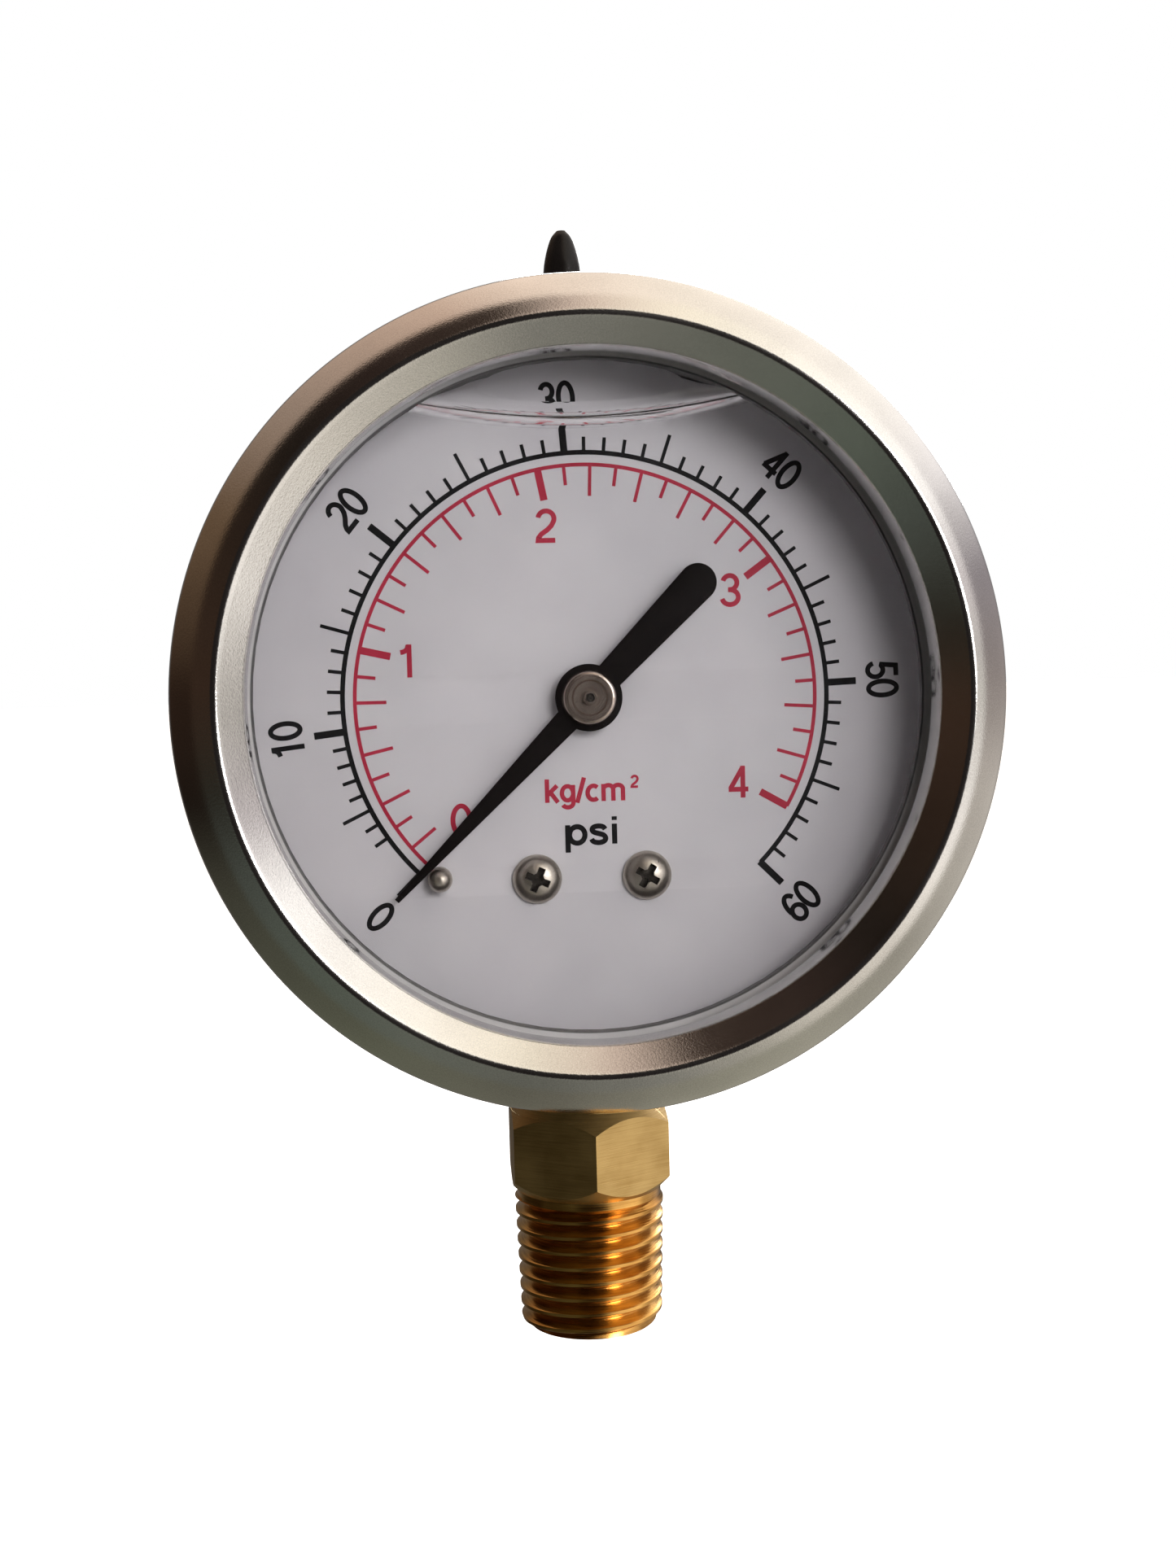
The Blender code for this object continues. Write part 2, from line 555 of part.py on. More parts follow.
def make_sector():
    """Toothed segment: the teeth face the pinion, the tail points to the tube's tip."""
    towards_pinion = SECTOR_CENTRE_ANGLE + 180
    hub_r, bar = 2.2, 1.2
    outline = gear_outline(SECTOR_TEETH_FULL, 11, -9, towards_pinion)
    last = towards_pinion + 5
    outline += arc(hub_r, last + 25, 360 + TAIL_ANGLE - 35, 12)
    bar_end = arc(bar, TAIL_ANGLE - 90, TAIL_ANGLE + 90, 8, polar(TAIL_ARM, TAIL_ANGLE))
    outline += bar_end + arc(hub_r, TAIL_ANGLE + 35, towards_pinion - 31 - 25, 8)
    middle = towards_pinion - 12.3
    window = arc(11.2, middle - 9, middle + 9, 5) + arc(5.2, middle + 11, middle - 11, 4)
    holes = [circle(0.9, steps=20), circle(0.5, polar(TAIL_ARM, TAIL_ANGLE), 16), window]
    x, z = sector_centre()
    flat("sector", [outline] + holes, SECTOR_Y, "brass", x, AXIS_Z + z)

    front, back = SECTOR_Y
    arbor = [(0, FRONT_PLATE_Y[0] + 0.1), (SHAFT_R, FRONT_PLATE_Y[0] + 0.1), (SHAFT_R, front - 0.8)]
    arbor += [(1.5, front - 0.8), (1.5, front - 0.1), (0.82, front - 0.1), (0.82, back + 0.1)]
    arbor += [(1.2, back + 0.1), (1.2, back + 0.5), (SHAFT_R, back + 0.5)]
    arbor += [(SHAFT_R, BACK_PLATE_Y[1] - 0.1), (0, BACK_PLATE_Y[1] - 0.1)]
    turned_y("sector_arbor", arbor, "nickel", x, AXIS_Z + z, 20)


def make_pin(name, at, hole_in):
    """A rivet-like pin through the link and the plate behind it."""
    front, back = LINK_Y[0] - 0.1, hole_in[1] + 0.1
    profile = [(0, front - 0.7), (0.75, front - 0.7), (0.95, front - 0.5), (0.95, front), (0.42, front)]
    profile += [(0.42, back), (0.75, back), (0.75, back + 0.45), (0, back + 0.45)]
    turned_y(name, profile, "nickel", at[0], AXIS_Z + at[1], 20)


def make_tube():
    """Flattened C-shaped tube, open at the socket end and at the tip, where the end piece shuts it."""
    centres = [math.radians(TUBE_START + (TUBE_END - TUBE_START) * i / 32) for i in range(33)]
    mesh = bpy.data.meshes.new("bourdon_tube")
    work = bmesh.new()

    def section(shrink):
        """Stadium across the tube as (radial, along Y), with its round ends at the tube's edges."""
        thick, wide = TUBE_THICK / 2 - shrink, TUBE_WIDTH / 2 - shrink
        ends = arc(thick, 90, -90, 4, (0, 0))
        one = [(up, wide - thick + out) for out, up in ends]
        return one + [(-up, -along) for up, along in one]

    rings = []
    for shrink in (0.0, TUBE_WALL):
        loops = []
        for angle in centres:
            out = Vector((math.cos(angle), 0, math.sin(angle)))
            at = Vector((0, TUBE_MID_Y, AXIS_Z)) + out * TUBE_R
            loops.append([work.verts.new((at + out * up + Vector((0, y, 0))) * MM) for up, y in section(shrink)])
        rings.append(loops)
    outer, inner = rings
    count = len(outer[0])
    for loops in rings:
        for a, b in zip(loops, loops[1:]):
            for i in range(count):
                work.faces.new((a[i], a[(i + 1) % count], b[(i + 1) % count], b[i]))
    for end in (0, -1):
        for i in range(count):
            j = (i + 1) % count
            work.faces.new((outer[end][i], outer[end][j], inner[end][j], inner[end][i]))
    bmesh.ops.recalc_face_normals(work, faces=work.faces)
    work.to_mesh(mesh)
    work.free()
    placed("bourdon_tube", mesh, "bronze")


def make_tube_tip():
    """End piece: a spigot inside the tube, a block across its end, and the lug for the link."""
    along = TUBE_END - 90  # direction in which the tube runs at its end
    end = polar(TUBE_R, TUBE_END)

    def slab(start, stop, half):
        """Corners of a rectangle along the tube's direction, from its end's centre line."""
        corners = ((start, -half), (stop, -half), (stop, half), (start, half))
        step, across = polar(1, along), polar(1, along + 90)
        return [(end[0] + a * step[0] + b * across[0], end[1] + a * step[1] + b * across[1]) for a, b in corners]

    def y_span(half):
        return TUBE_MID_Y - half, TUBE_MID_Y + half

    tip = flat("tube_tip", [slab(PRESS_GAP, 3.4, TUBE_THICK / 2 + 0.25)], y_span(TUBE_WIDTH / 2 + 0.1), "brass")
    inside = TUBE_THICK / 2 - TUBE_WALL - 0.2
    spigot = flat("tip_spigot", [slab(-1.6, 0.6, inside)], y_span(TUBE_WIDTH / 2 - TUBE_WALL - 0.7), None)
    combine(tip, spigot, "UNION")
    root = slab(1.4, 2.2, 0.2)[1]
    lug = flat("tip_lug", [hull([(*TIP_PIN, 1.25), (*root, 1.3)])], SECTOR_Y, None)
    combine(tip, lug, "UNION")
    pin_hole = disc_y("tip_pin_hole", 0.5, (-6, 4), None, TIP_PIN[0], AXIS_Z + TIP_PIN[1], 16)
    combine(tip, pin_hole)
    make_pin("tip_pin", TIP_PIN, SECTOR_Y)


def make_link():
    tail = tail_pin_at()
    outline = hull([(*TIP_PIN, 1.1), (*tail, 1.1)])
    flat("link", [outline, circle(0.5, TIP_PIN, 16), circle(0.66, tail, 16)], LINK_Y, "brass")
    make_pin("tail_pin", tail, SECTOR_Y)


def make_plates():
    """Two bearing plates, three pillars riveted in the back one, and the screws."""
    x, z = sector_centre()
    corners = [(px, pz, 2.0) for px, pz in PILLARS.values()]
    bearings = [circle(PIVOT_HOLE_R, steps=20), circle(PIVOT_HOLE_R, (x, z), 20)]
    front_holes = [circle(0.6, at, 16) for at in PILLARS.values()] + [circle(0.36, POST_AT, 16)]
    outline = hull(corners + [(x, z, 2.2), (*POST_AT, 1.2)])
    flat("movement_front_plate", [outline] + bearings + front_holes, FRONT_PLATE_Y, "brass")

    tongue = [(side * 4.5, -16.3, 1.1) for side in (-1, 1)]
    back_holes = [circle(0.8, at, 16) for at in PILLARS.values()]
    back_holes += [circle(0.85, (side * MOVEMENT_SCREW_X, MOVEMENT_SCREW_Z), 16) for side in (-1, 1)]
    outline = hull(corners + tongue + [(x, z, 2.2)])
    flat("movement_back_plate", [outline] + bearings + back_holes, BACK_PLATE_Y, "brass")

    for name, (px, pz) in PILLARS.items():
        front, back = FRONT_PLATE_Y[1] + 0.08, BACK_PLATE_Y[0] - 0.08
        body = [(0.56, front), (1.15, front), (1.15, back), (0.7, back), (0.7, BACK_PLATE_Y[1])]
        body += [(0, BACK_PLATE_Y[1]), (0, front + 2.6), (0.56, front + 2.6)]
        turned_y(f"pillar_{name}", body, "brass", px, AXIS_Z + pz, 20)
        seat = FRONT_PLATE_Y[0] - 0.08
        shank = [(0, seat - 0.7), (1.1, seat - 0.7), (1.1, seat), (0.48, seat), (0.48, front + 2.1)]
        screw = turned_y(f"plate_screw_{name}", shank + [(0, front + 2.1)], "nickel", px, AXIS_Z + pz, 20)
        slot = box(f"plate_slot_{name}", (px - 2, seat - 1, AXIS_Z + pz - 0.15), (px + 2, seat - 0.4, AXIS_Z + pz + 0.15))
        combine(screw, slot)

    for side, name in ((-1, "movement_screw_left"), (1, "movement_screw_right")):
        seat = BACK_PLATE_Y[1] + 0.08
        px, pz = side * MOVEMENT_SCREW_X, AXIS_Z + MOVEMENT_SCREW_Z
        body = [(0, -2.0), (0.75, -2.0), (0.75, seat), (1.4, seat), (1.4, seat + 0.9), (0, seat + 0.9)]
        screw = turned_y(name, body, "nickel", px, pz, 20)
        slot = box(f"{name}_slot", (px - 2, seat + 0.5, pz - 0.2), (px + 2, seat + 2, pz + 0.2))
        combine(screw, slot)


def make_hairspring():
    """Flat spiral from the collet to the post, and the post on the front plate."""
    turns, per_turn = 4, 16
    inner, outer = 1.45, 4.95
    first = math.degrees(math.atan2(POST_AT[1], POST_AT[0])) - 360 * turns
    count = turns * per_turn
    centre = [(inner + (outer - inner) * i / count, first + 360.0 * i / per_turn) for i in range(count + 1)]
    half = 0.07
    outline = [polar(r + half, a) for r, a in centre] + [polar(r - half, a) for r, a in reversed(centre)]
    flat("hairspring", [outline], SPRING_Y, "spring_steel")

    x, z = POST_AT[0], AXIS_Z + POST_AT[1]
    back = FRONT_PLATE_Y[1] + 0.05
    post = [(0, FRONT_PLATE_Y[0]), (0.3, FRONT_PLATE_Y[0]), (0.3, back), (0.5, back), (0.5, -3.5), (0, -3.5)]
    turned_y("hairspring_post", post, "nickel", x, z, 16)


# ---- joints --------------------------------------------------------------------------------
def hinge(name, at, y, pieces, carried_by=None):
    """An empty on a joint's axis, parallel to Y, which carries the pieces that turn about it."""
    axis = bpy.data.objects.new(name, None)
    PARTS.objects.link(axis)
    place = Matrix.Translation(Vector((at[0], y, AXIS_Z + at[1])) * MM)
    if carried_by:
        axis.parent = carried_by
        axis.matrix_parent_inverse = carried_by.matrix_basis.inverted()
    axis.matrix_basis = place
    for piece in pieces:
        made = bpy.data.objects[piece]
        made.parent = axis
        made.matrix_parent_inverse = place.inverted()
    return axis


def make_joints():
    hinge("pointer_turn", (0, 0), -5.0, ["pinion_staff", "hairspring_collet", "pointer", "pointer_hub"])
    hinge("sector_turn", sector_centre(), SECTOR_Y[0], ["sector", "sector_arbor", "tail_pin"])
    flex = hinge("tube_flex", FLEX_CENTRE, TUBE_MID_Y, ["tube_tip", "tip_pin"])
    hinge("link_swing", TIP_PIN, LINK_Y[0], ["link"], flex)


# ---- the whole gauge -----------------------------------------------------------------------
def shade_round(made):
    """Smooth shading with sharp edges kept, on meshes that carry their own faces."""
    if made.type == "MESH" and made.data.polygons:
        made.data.shade_smooth()
        made.data.set_sharp_from_angle(angle=math.radians(30))


def main():
    global PARTS, TOOLS
    for old in list(bpy.data.objects):
        bpy.data.objects.remove(old)
    PARTS = bpy.data.collections.new("pressure_gauge")
    TOOLS = bpy.data.collections.new("cutters")
    for group in (PARTS, TOOLS):
        bpy.context.scene.collection.children.link(group)

    make_case()
    make_bezel()
    make_window()
    make_filling_plug()
    make_socket()
    make_stem_fittings()
    make_dial()
    make_pointer()
    make_sector()
    make_tube()
    make_tube_tip()
    make_link()
    make_plates()
    make_hairspring()
    make_joints()
    for made in PARTS.objects:
        shade_round(made)


main()
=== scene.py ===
"""How the liquid-filled pressure gauge looks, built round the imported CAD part.

Frame: +Z up, the dial faces -Y, and the origin is the centre of the thread's end face. Shapes are
given in millimetres and angles in degrees. "Dial plane" points are (x, z) from the pointer's axis.
"""

import json
import math

import bmesh
import bpy
from mathutils import Matrix, Vector

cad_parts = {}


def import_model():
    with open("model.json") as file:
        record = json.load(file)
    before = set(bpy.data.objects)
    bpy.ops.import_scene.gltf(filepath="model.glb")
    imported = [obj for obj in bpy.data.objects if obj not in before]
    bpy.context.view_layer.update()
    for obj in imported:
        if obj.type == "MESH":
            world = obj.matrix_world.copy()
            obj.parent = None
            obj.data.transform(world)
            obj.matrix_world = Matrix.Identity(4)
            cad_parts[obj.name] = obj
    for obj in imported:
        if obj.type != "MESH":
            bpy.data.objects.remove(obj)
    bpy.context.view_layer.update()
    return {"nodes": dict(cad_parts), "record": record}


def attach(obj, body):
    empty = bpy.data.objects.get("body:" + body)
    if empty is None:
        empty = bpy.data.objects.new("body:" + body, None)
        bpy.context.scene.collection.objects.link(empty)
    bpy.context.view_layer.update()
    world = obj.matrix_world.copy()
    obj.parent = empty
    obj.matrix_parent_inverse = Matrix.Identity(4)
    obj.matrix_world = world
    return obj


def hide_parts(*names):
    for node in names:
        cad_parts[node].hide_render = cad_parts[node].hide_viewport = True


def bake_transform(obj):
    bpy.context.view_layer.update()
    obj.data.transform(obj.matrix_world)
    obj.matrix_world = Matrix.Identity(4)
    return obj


MM = 0.001
FINE_STEPS = 256
ROUND_STEPS = 96

# ---- dimensions that the fine pieces share with the CAD part ---------------------------------
AXIS_Z = 57.5
CREST_Y, CREST_R = -22.0, 30.2
LIP_R = 27.9
BEZEL_R, BEZEL_BACK_Y, BEZEL_SHEET = 34.0, -11.9, 0.6
CREST_BEND, SHOULDER_BEND = 0.8, 1.6
CONE_TILT = -45.0
BAND_TILT = (30.0, 58.0)
WINDOW_R, WINDOW_Y, WINDOW_CHAMFER = 33.1, (-17.15, -14.65), 0.25
CASE_R, CASE_SHEET, CASE_BACK_Y, CASE_CORNER = 31.0, 0.6, 10.0, 2.5
FLANGE_R, FLANGE_Y = 33.1, (-13.25, -12.65)
DIAL_R, DIAL_Y, DIAL_HOLE_R = 29.0, (-7.7, -7.2), 1.9
DIAL_SCREW_X, DIAL_SCREW_Z, DIAL_SCREW_HOLE_R = 4.7, -15.3, 1.15
DIAL_SCREW_END_Y, SCREW_HOLE_END_Y = -4.2, -3.9
SCREW_HEAD_R, SCREW_HEAD_H, SCREW_SHANK_R = 2.1, 1.25, 1.0
SCREW_TURN = {"dial_screw_left": 24.0, "dial_screw_right": 31.0}
STOP_R, STOP_ANGLE, STOP_PIN_R, STOP_HOLE_R = 19.8, -139.2, 1.05, 0.62
ZERO_ANGLE = -135.0
POINTER_Y = (-9.7, -9.3)
NEEDLE_LENGTH, TAIL_LENGTH = 23.5, 15.0
NEEDLE_TIP_HALF, NEEDLE_ROOT_HALF = 0.22, 1.05
TAIL_ROOT_HALF, TAIL_END_R, POINTER_DISC_R = 1.2, 1.6, 2.84
THREAD_TOP_Z, THREAD_R, NECK_R = 11.9, (6.46, 6.83), 6.6
HEX_Z, HEX_FLAT = (13.0, 20.0), 14.0
CLIP_GROOVE_R, CLIP_Z = 6.0, (24.9, 25.8)
STEM_R = 8.1
COLLAR_R, COLLAR_Z = (8.3, 9.3), (25.9, 28.15)
SEAL_GROOVE_Z, SEAL_GROOVE_R = (26.35, 27.65), 7.1
SHOULDER_Z, SHOULDER_HALF = (28.7, 30.4), (9.6, 6.9)
BLOCK_TOP_Z, BLOCK_HALF_X, BLOCK_Y = 45.0, 7.0, (-6.9, 4.2)
LEDGE_Z, LEDGE_Y = 39.5, 0.3
BORE_R, BORE_DEPTH = 2.5, 12.0
PASSAGE_R, PASSAGE_TOP_Z = 1.5, 37.2
MOVEMENT_SCREW_X, MOVEMENT_SCREW_Z, MOVEMENT_HOLE_R = 3.2, -14.9, 0.85
PLUG_Y, PLUG_HOLE_R, PLUG_TIP_Z = 2.5, 4.0, 99.55
TUBE_R, TUBE_THICK, TUBE_WIDTH, TUBE_WALL, TUBE_MID_Y = 21.0, 2.6, 7.2, 0.35, -1.0
TUBE_START, TUBE_END = 261.8, 20.0
PRESS_GAP = 0.1

# ---- dimensions that only the looks need -----------------------------------------------------
THREAD_PITCH = 25.4 / 18
# One thread, from flat crest to flat crest: (turns along the axis, millimetres below the crest).
THREAD_FORM = (
    (-0.1, 0.0),
    (0.1, 0.0),
    (0.16, 0.12),
    (0.42, 0.86),
    (0.5, 0.93),
    (0.58, 0.86),
    (0.84, 0.12),
)
THREAD_START_DROP = 0.75
# Radii over which the painted shade at the gasket's inner edge fades out.
GASKET_SHADE_EDGE_R = (27.8, 27.9)
BRASS_CHANGE_Z = (12.4, 13.2)
LIQUID_R, LIQUID_EDGE_R = 30.5, 27.8
LIQUID_Y = (-14.62, -13.4, -7.45)
# The liquid's surface lies at low + tilt x + x^2 / (2 round), and rises to the glass and the dial.
BUBBLE_LOW, BUBBLE_TILT, BUBBLE_ROUND = 22.4, 0.0192, 59.0
RISE_AT_GLASS, RISE_AT_DIAL, RISE_REACH = 1.75, 1.2, 2.4
BUBBLE_TOP_R, BUBBLE_GLASS_SHARE = (27.55, 29.3), 0.76
BUBBLE_STEPS, RISE_STEPS = 60, 12
CROSS_HALF, CROSS_DEPTH, CROSS_CENTRE = (1.08, 0.31), 0.85, (0.56, 0.7)
PRINT_DEPTH, PRINT_STEP = 0.02, 0.0004
BLACK_ARC_R, RED_ARC_R = 20.6, 19.58
# Width of a scale's arc, reach of its short and long marks, how often a long one comes, width of its
# marks and of those at whole units, and how far the latter lap over the arc.
BLACK_MARKS = (0.4, 1.3, 2.6, 5, 0.3, 0.6, 0.3)
RED_MARKS = (0.32, 1.66, 2.63, 2, 0.29, 0.62, 0.2)
# Where 0, 10 ... 60 and, on the metric scale, 0 ... 4 lie, clockwise from the top.
TENS = (-135.0, -96.5, -50.5, -4.0, 42.0, 88.0, 135.0)
RED_UNITS = (-142.0, -76.8, -11.0, 54.3, 120.0)
NUMERAL_R = 25.5
NUMERAL_HEIGHT, NUMERAL_WEIGHT, RED_WIDEN = 2.8, 0.15, 1.2
RED_NUMERALS = {
    "0": (-10.97, -10.1),
    "1": (-15.06, 3.48),
    "2": (-3.11, 14.52),
    "3": (12.45, 8.79),
    "4": (12.81, -7.55),
}

# ---- camera, floor and light -----------------------------------------------------------------
CAMERA_AT = (-15.178, -166.432, 60.114)
CAMERA_RIGHT = (0.994871, -0.097736, -0.026049)
CAMERA_UP = (0.032094, 0.060794, 0.997634)
CAMERA_BACK = (-0.095922, -0.993354, 0.063619)
CAMERA_LENS, CAMERA_FILM = 42.309, 36.0
FLOOR_Z = -30.0
# What surrounds the gauge, by direction clockwise from the right as the reader sees it: what lies
# ahead of the dial's plane, and what lies beside it.
AHEAD = (
    (0, (0.87, 0.83, 0.77)),
    (18, (1.45, 1.37, 1.3)),
    (42, (1.06, 0.98, 0.87)),
    (60, (0.66, 0.62, 0.53)),
    (75, (0.33, 0.32, 0.28)),
    (92, (0.2, 0.2, 0.17)),
    (130, (0.13, 0.15, 0.12)),
    (150, (0.09, 0.1, 0.085)),
    (166, (0.03, 0.027, 0.02)),
    (182, (0.06, 0.034, 0.022)),
    (225, (0.018, 0.013, 0.01)),
    (242, (0.04, 0.025, 0.02)),
    (262, (0.06, 0.04, 0.03)),
    (275, (1.0, 0.78, 0.64)),
    (290, (1.5, 1.35, 1.1)),
    (333, (1.8, 1.74, 1.7)),
    (346, (0.93, 0.85, 0.86)),
    (360, (0.87, 0.83, 0.77)),
)
BESIDE = (
    (0, (0.45, 0.39, 0.37)),
    (15, (0.75, 0.69, 0.62)),
    (40, (0.48, 0.45, 0.38)),
    (65, (0.47, 0.45, 0.36)),
    (90, (0.2, 0.19, 0.15)),
    (120, (0.15, 0.155, 0.11)),
    (150, (0.07, 0.068, 0.05)),
    (164, (0.016, 0.011, 0.008)),
    (182, (0.036, 0.02, 0.013)),
    (210, (0.2, 0.125, 0.073)),
    (228, (0.48, 0.35, 0.27)),
    (255, (0.84, 0.6, 0.46)),
    (268, (1.35, 1.08, 0.88)),
    (290, (1.42, 1.26, 1.08)),
    (318, (1.55, 1.46, 1.36)),
    (332, (1.35, 1.28, 1.27)),
    (346, (0.38, 0.34, 0.36)),
    (360, (0.45, 0.39, 0.37)),
)
STRAIGHT_AHEAD, BEHIND = (0.022, 0.018, 0.017), (0.16, 0.155, 0.15)
# Between which values of a direction's Y each of them gives way to the next one.
AHEAD_FROM_TO, BESIDE_FROM_TO, BEHIND_FROM_TO = (-0.91, -0.8), (-0.14, 0.02), (0.6, 0.88)


# ---- making meshes ---------------------------------------------------------------------------
def new_object(name, mesh):
    made = bpy.data.objects.new(name, mesh)
    bpy.context.scene.collection.objects.link(made)
    return made


def from_work(name, work, matrix=None):
    """An object from a bmesh in metres, with its faces turned outwards."""
    bmesh.ops.recalc_face_normals(work, faces=work.faces)
    mesh = bpy.data.meshes.new(name)
    work.to_mesh(mesh)
    work.free()
    if matrix is not None:
        mesh.transform(matrix)
    return new_object(name, mesh)


def along_y(x=0.0, z=0.0):
    """Placement of a shape whose local +Z points to the front."""
    return Matrix.Translation(Vector((x, 0, z)) * MM) @ Matrix.Rotation(math.pi / 2, 4, "X")


def along_z(y=0.0):
    return Matrix.Translation(Vector((0, y, 0)) * MM)


def join_rings(work, rings, closed):
    """Faces between rings of points. A ring of one point is a pole."""
    pairs = list(zip(rings, rings[1:]))
    if closed:
        pairs.append((rings[-1], rings[0]))
    for one, other in pairs:
        for i in range(max(len(one), len(other))):
            corners = [one[i % len(one)], one[(i + 1) % len(one)]]
            corners += [other[(i + 1) % len(other)], other[i % len(other)]]
            corners = list(dict.fromkeys(corners))
            if len(corners) > 2:
                work.faces.new(corners)


def turned(name, profile, matrix, steps=ROUND_STEPS):
    """A turned solid. The profile is (radius, height along the local +Z): a closed outline, or one
    that starts and ends on the axis."""
    work = bmesh.new()
    rings = []
    for radius, height in profile:
        count = steps if radius > 0 else 1
        angles = [math.tau * i / steps for i in range(count)]
        places = [(radius * math.cos(a), radius * math.sin(a), height) for a in angles]
        rings.append([work.verts.new(Vector(place) * MM) for place in places])
    join_rings(work, rings, len(rings[0]) > 1)
    return from_work(name, work, matrix)


def turned_y(name, profile, x=0.0, z=AXIS_Z, steps=ROUND_STEPS):
    """A turned solid on an axis parallel to Y, its profile as (radius, station y)."""
    return turned(name, [(r, -y) for r, y in profile], along_y(x, z), steps)


def disc_y(name, radius, y, x=0.0, z=AXIS_Z, steps=48):
    return turned_y(name, [(0, y[0]), (radius, y[0]), (radius, y[1]), (0, y[1])], x, z, steps)


def disc_z(name, radius, z, y=0.0, steps=ROUND_STEPS):
    return turned(name, [(0, z[0]), (radius, z[0]), (radius, z[1]), (0, z[1])], along_z(y), steps)


def box(name, low, high, matrix=None):
    work = bmesh.new()
    bmesh.ops.create_cube(work, size=1.0)
    low, high = Vector(low) * MM, Vector(high) * MM
    place = Matrix.Translation((low + high) / 2) @ Matrix.Diagonal((*(high - low), 1))
    return from_work(name, work, place if matrix is None else matrix @ place)


def flat(name, outlines, y, rounding=0.0):
    """A plate cut from closed outlines of (x, z) points, between two stations along Y."""
    curve = bpy.data.curves.new(name, "CURVE")
    curve.dimensions = "2D"
    curve.fill_mode = "BOTH"
    curve.extrude = ((y[1] - y[0]) / 2 - rounding) * MM
    curve.bevel_depth = rounding * MM
    curve.bevel_resolution = 2
    curve.offset = -rounding * MM
    for outline in outlines:
        spline = curve.splines.new("POLY")
        spline.points.add(len(outline) - 1)
        for point, (across, up) in zip(spline.points, outline):
            point.co = (across * MM, up * MM, 0, 1)
        spline.use_cyclic_u = True
    sketch = new_object(name + "_sketch", curve)
    bpy.context.view_layer.update()
    graph = bpy.context.evaluated_depsgraph_get()
    mesh = bpy.data.meshes.new_from_object(sketch.evaluated_get(graph))
    bpy.data.objects.remove(sketch)
    work = bmesh.new()
    work.from_mesh(mesh)
    bpy.data.meshes.remove(mesh)
    bmesh.ops.remove_doubles(work, verts=work.verts, dist=1e-7)
    middle = Matrix.Translation(Vector((0, (y[0] + y[1]) / 2, 0)) * MM)
    return from_work(name, work, middle @ along_y(z=AXIS_Z))


def combine(target, tool, operation="DIFFERENCE"):
    """Cuts the tool from the target, or joins it on, for good."""
    step = target.modifiers.new("Combine", "BOOLEAN")
    step.operation = operation
    step.object = tool
    step.solver = "EXACT"
    bpy.context.view_layer.update()
    graph = bpy.context.evaluated_depsgraph_get()
    mesh = bpy.data.meshes.new_from_object(target.evaluated_get(graph))
    target.modifiers.clear()
    target.data = mesh
    bpy.data.objects.remove(tool)
    return target


def arc(radius, start, end, steps, at=(0.0, 0.0)):
    angles = [math.radians(start + (end - start) * i / steps) for i in range(steps + 1)]
    return [(at[0] + radius * math.cos(a), at[1] + radius * math.sin(a)) for a in angles]


def circle(radius, at=(0.0, 0.0), steps=48):
    return arc(radius, 0, 360, steps, at)[:-1]


def polar(radius, degrees):
    return radius * math.cos(math.radians(degrees)), radius * math.sin(math.radians(degrees))


def from_top(radius, clockwise):
    return polar(radius, 90 - clockwise)


def turn_clockwise(points, degrees):
    cosine, sine = math.cos(math.radians(degrees)), math.sin(math.radians(degrees))
    return [(x * cosine + z * sine, z * cosine - x * sine) for x, z in points]


def smooth_path(points, per_span):
    """A curve through all the points (Catmull-Rom)."""

    def between_middle_two(p, q, r, s, t):
        square = (2 * p - 5 * q + 4 * r - s) * t**2
        cube = (3 * q - p - 3 * r + s) * t**3
        return 0.5 * (2 * q + (r - p) * t + square + cube)

    ends = [points[0], *points, points[-1]]
    made = []
    for four in zip(ends, ends[1:], ends[2:], ends[3:]):
        for i in range(per_span):
            made.append(tuple(between_middle_two(*part, i / per_span) for part in zip(*four)))
    return [*made, points[-1]]


def finished(made, surface, body, slot, *stands_for, sharp=30.0):
    """Shades the piece, gives it its material and fixes it to its body."""
    made.data.shade_smooth()
    made.data.set_sharp_from_angle(angle=math.radians(sharp))
    made.data.materials.clear()
    made.data.materials.append(surface)
    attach(made, body)
    if stands_for:
        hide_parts(*stands_for)


def paint_shade_near_axis(made, surface, centre, radius, y):
    """Gives a second material, a painted shade, to the facets near an axis along Y, between two
    stations.
    """
    made.data.materials.append(surface)
    for facet in made.data.polygons:
        at = facet.center / MM
        if math.hypot(at.x - centre[0], at.z - centre[1]) < radius and y[0] < at.y < y[1]:
            facet.material_index = 1


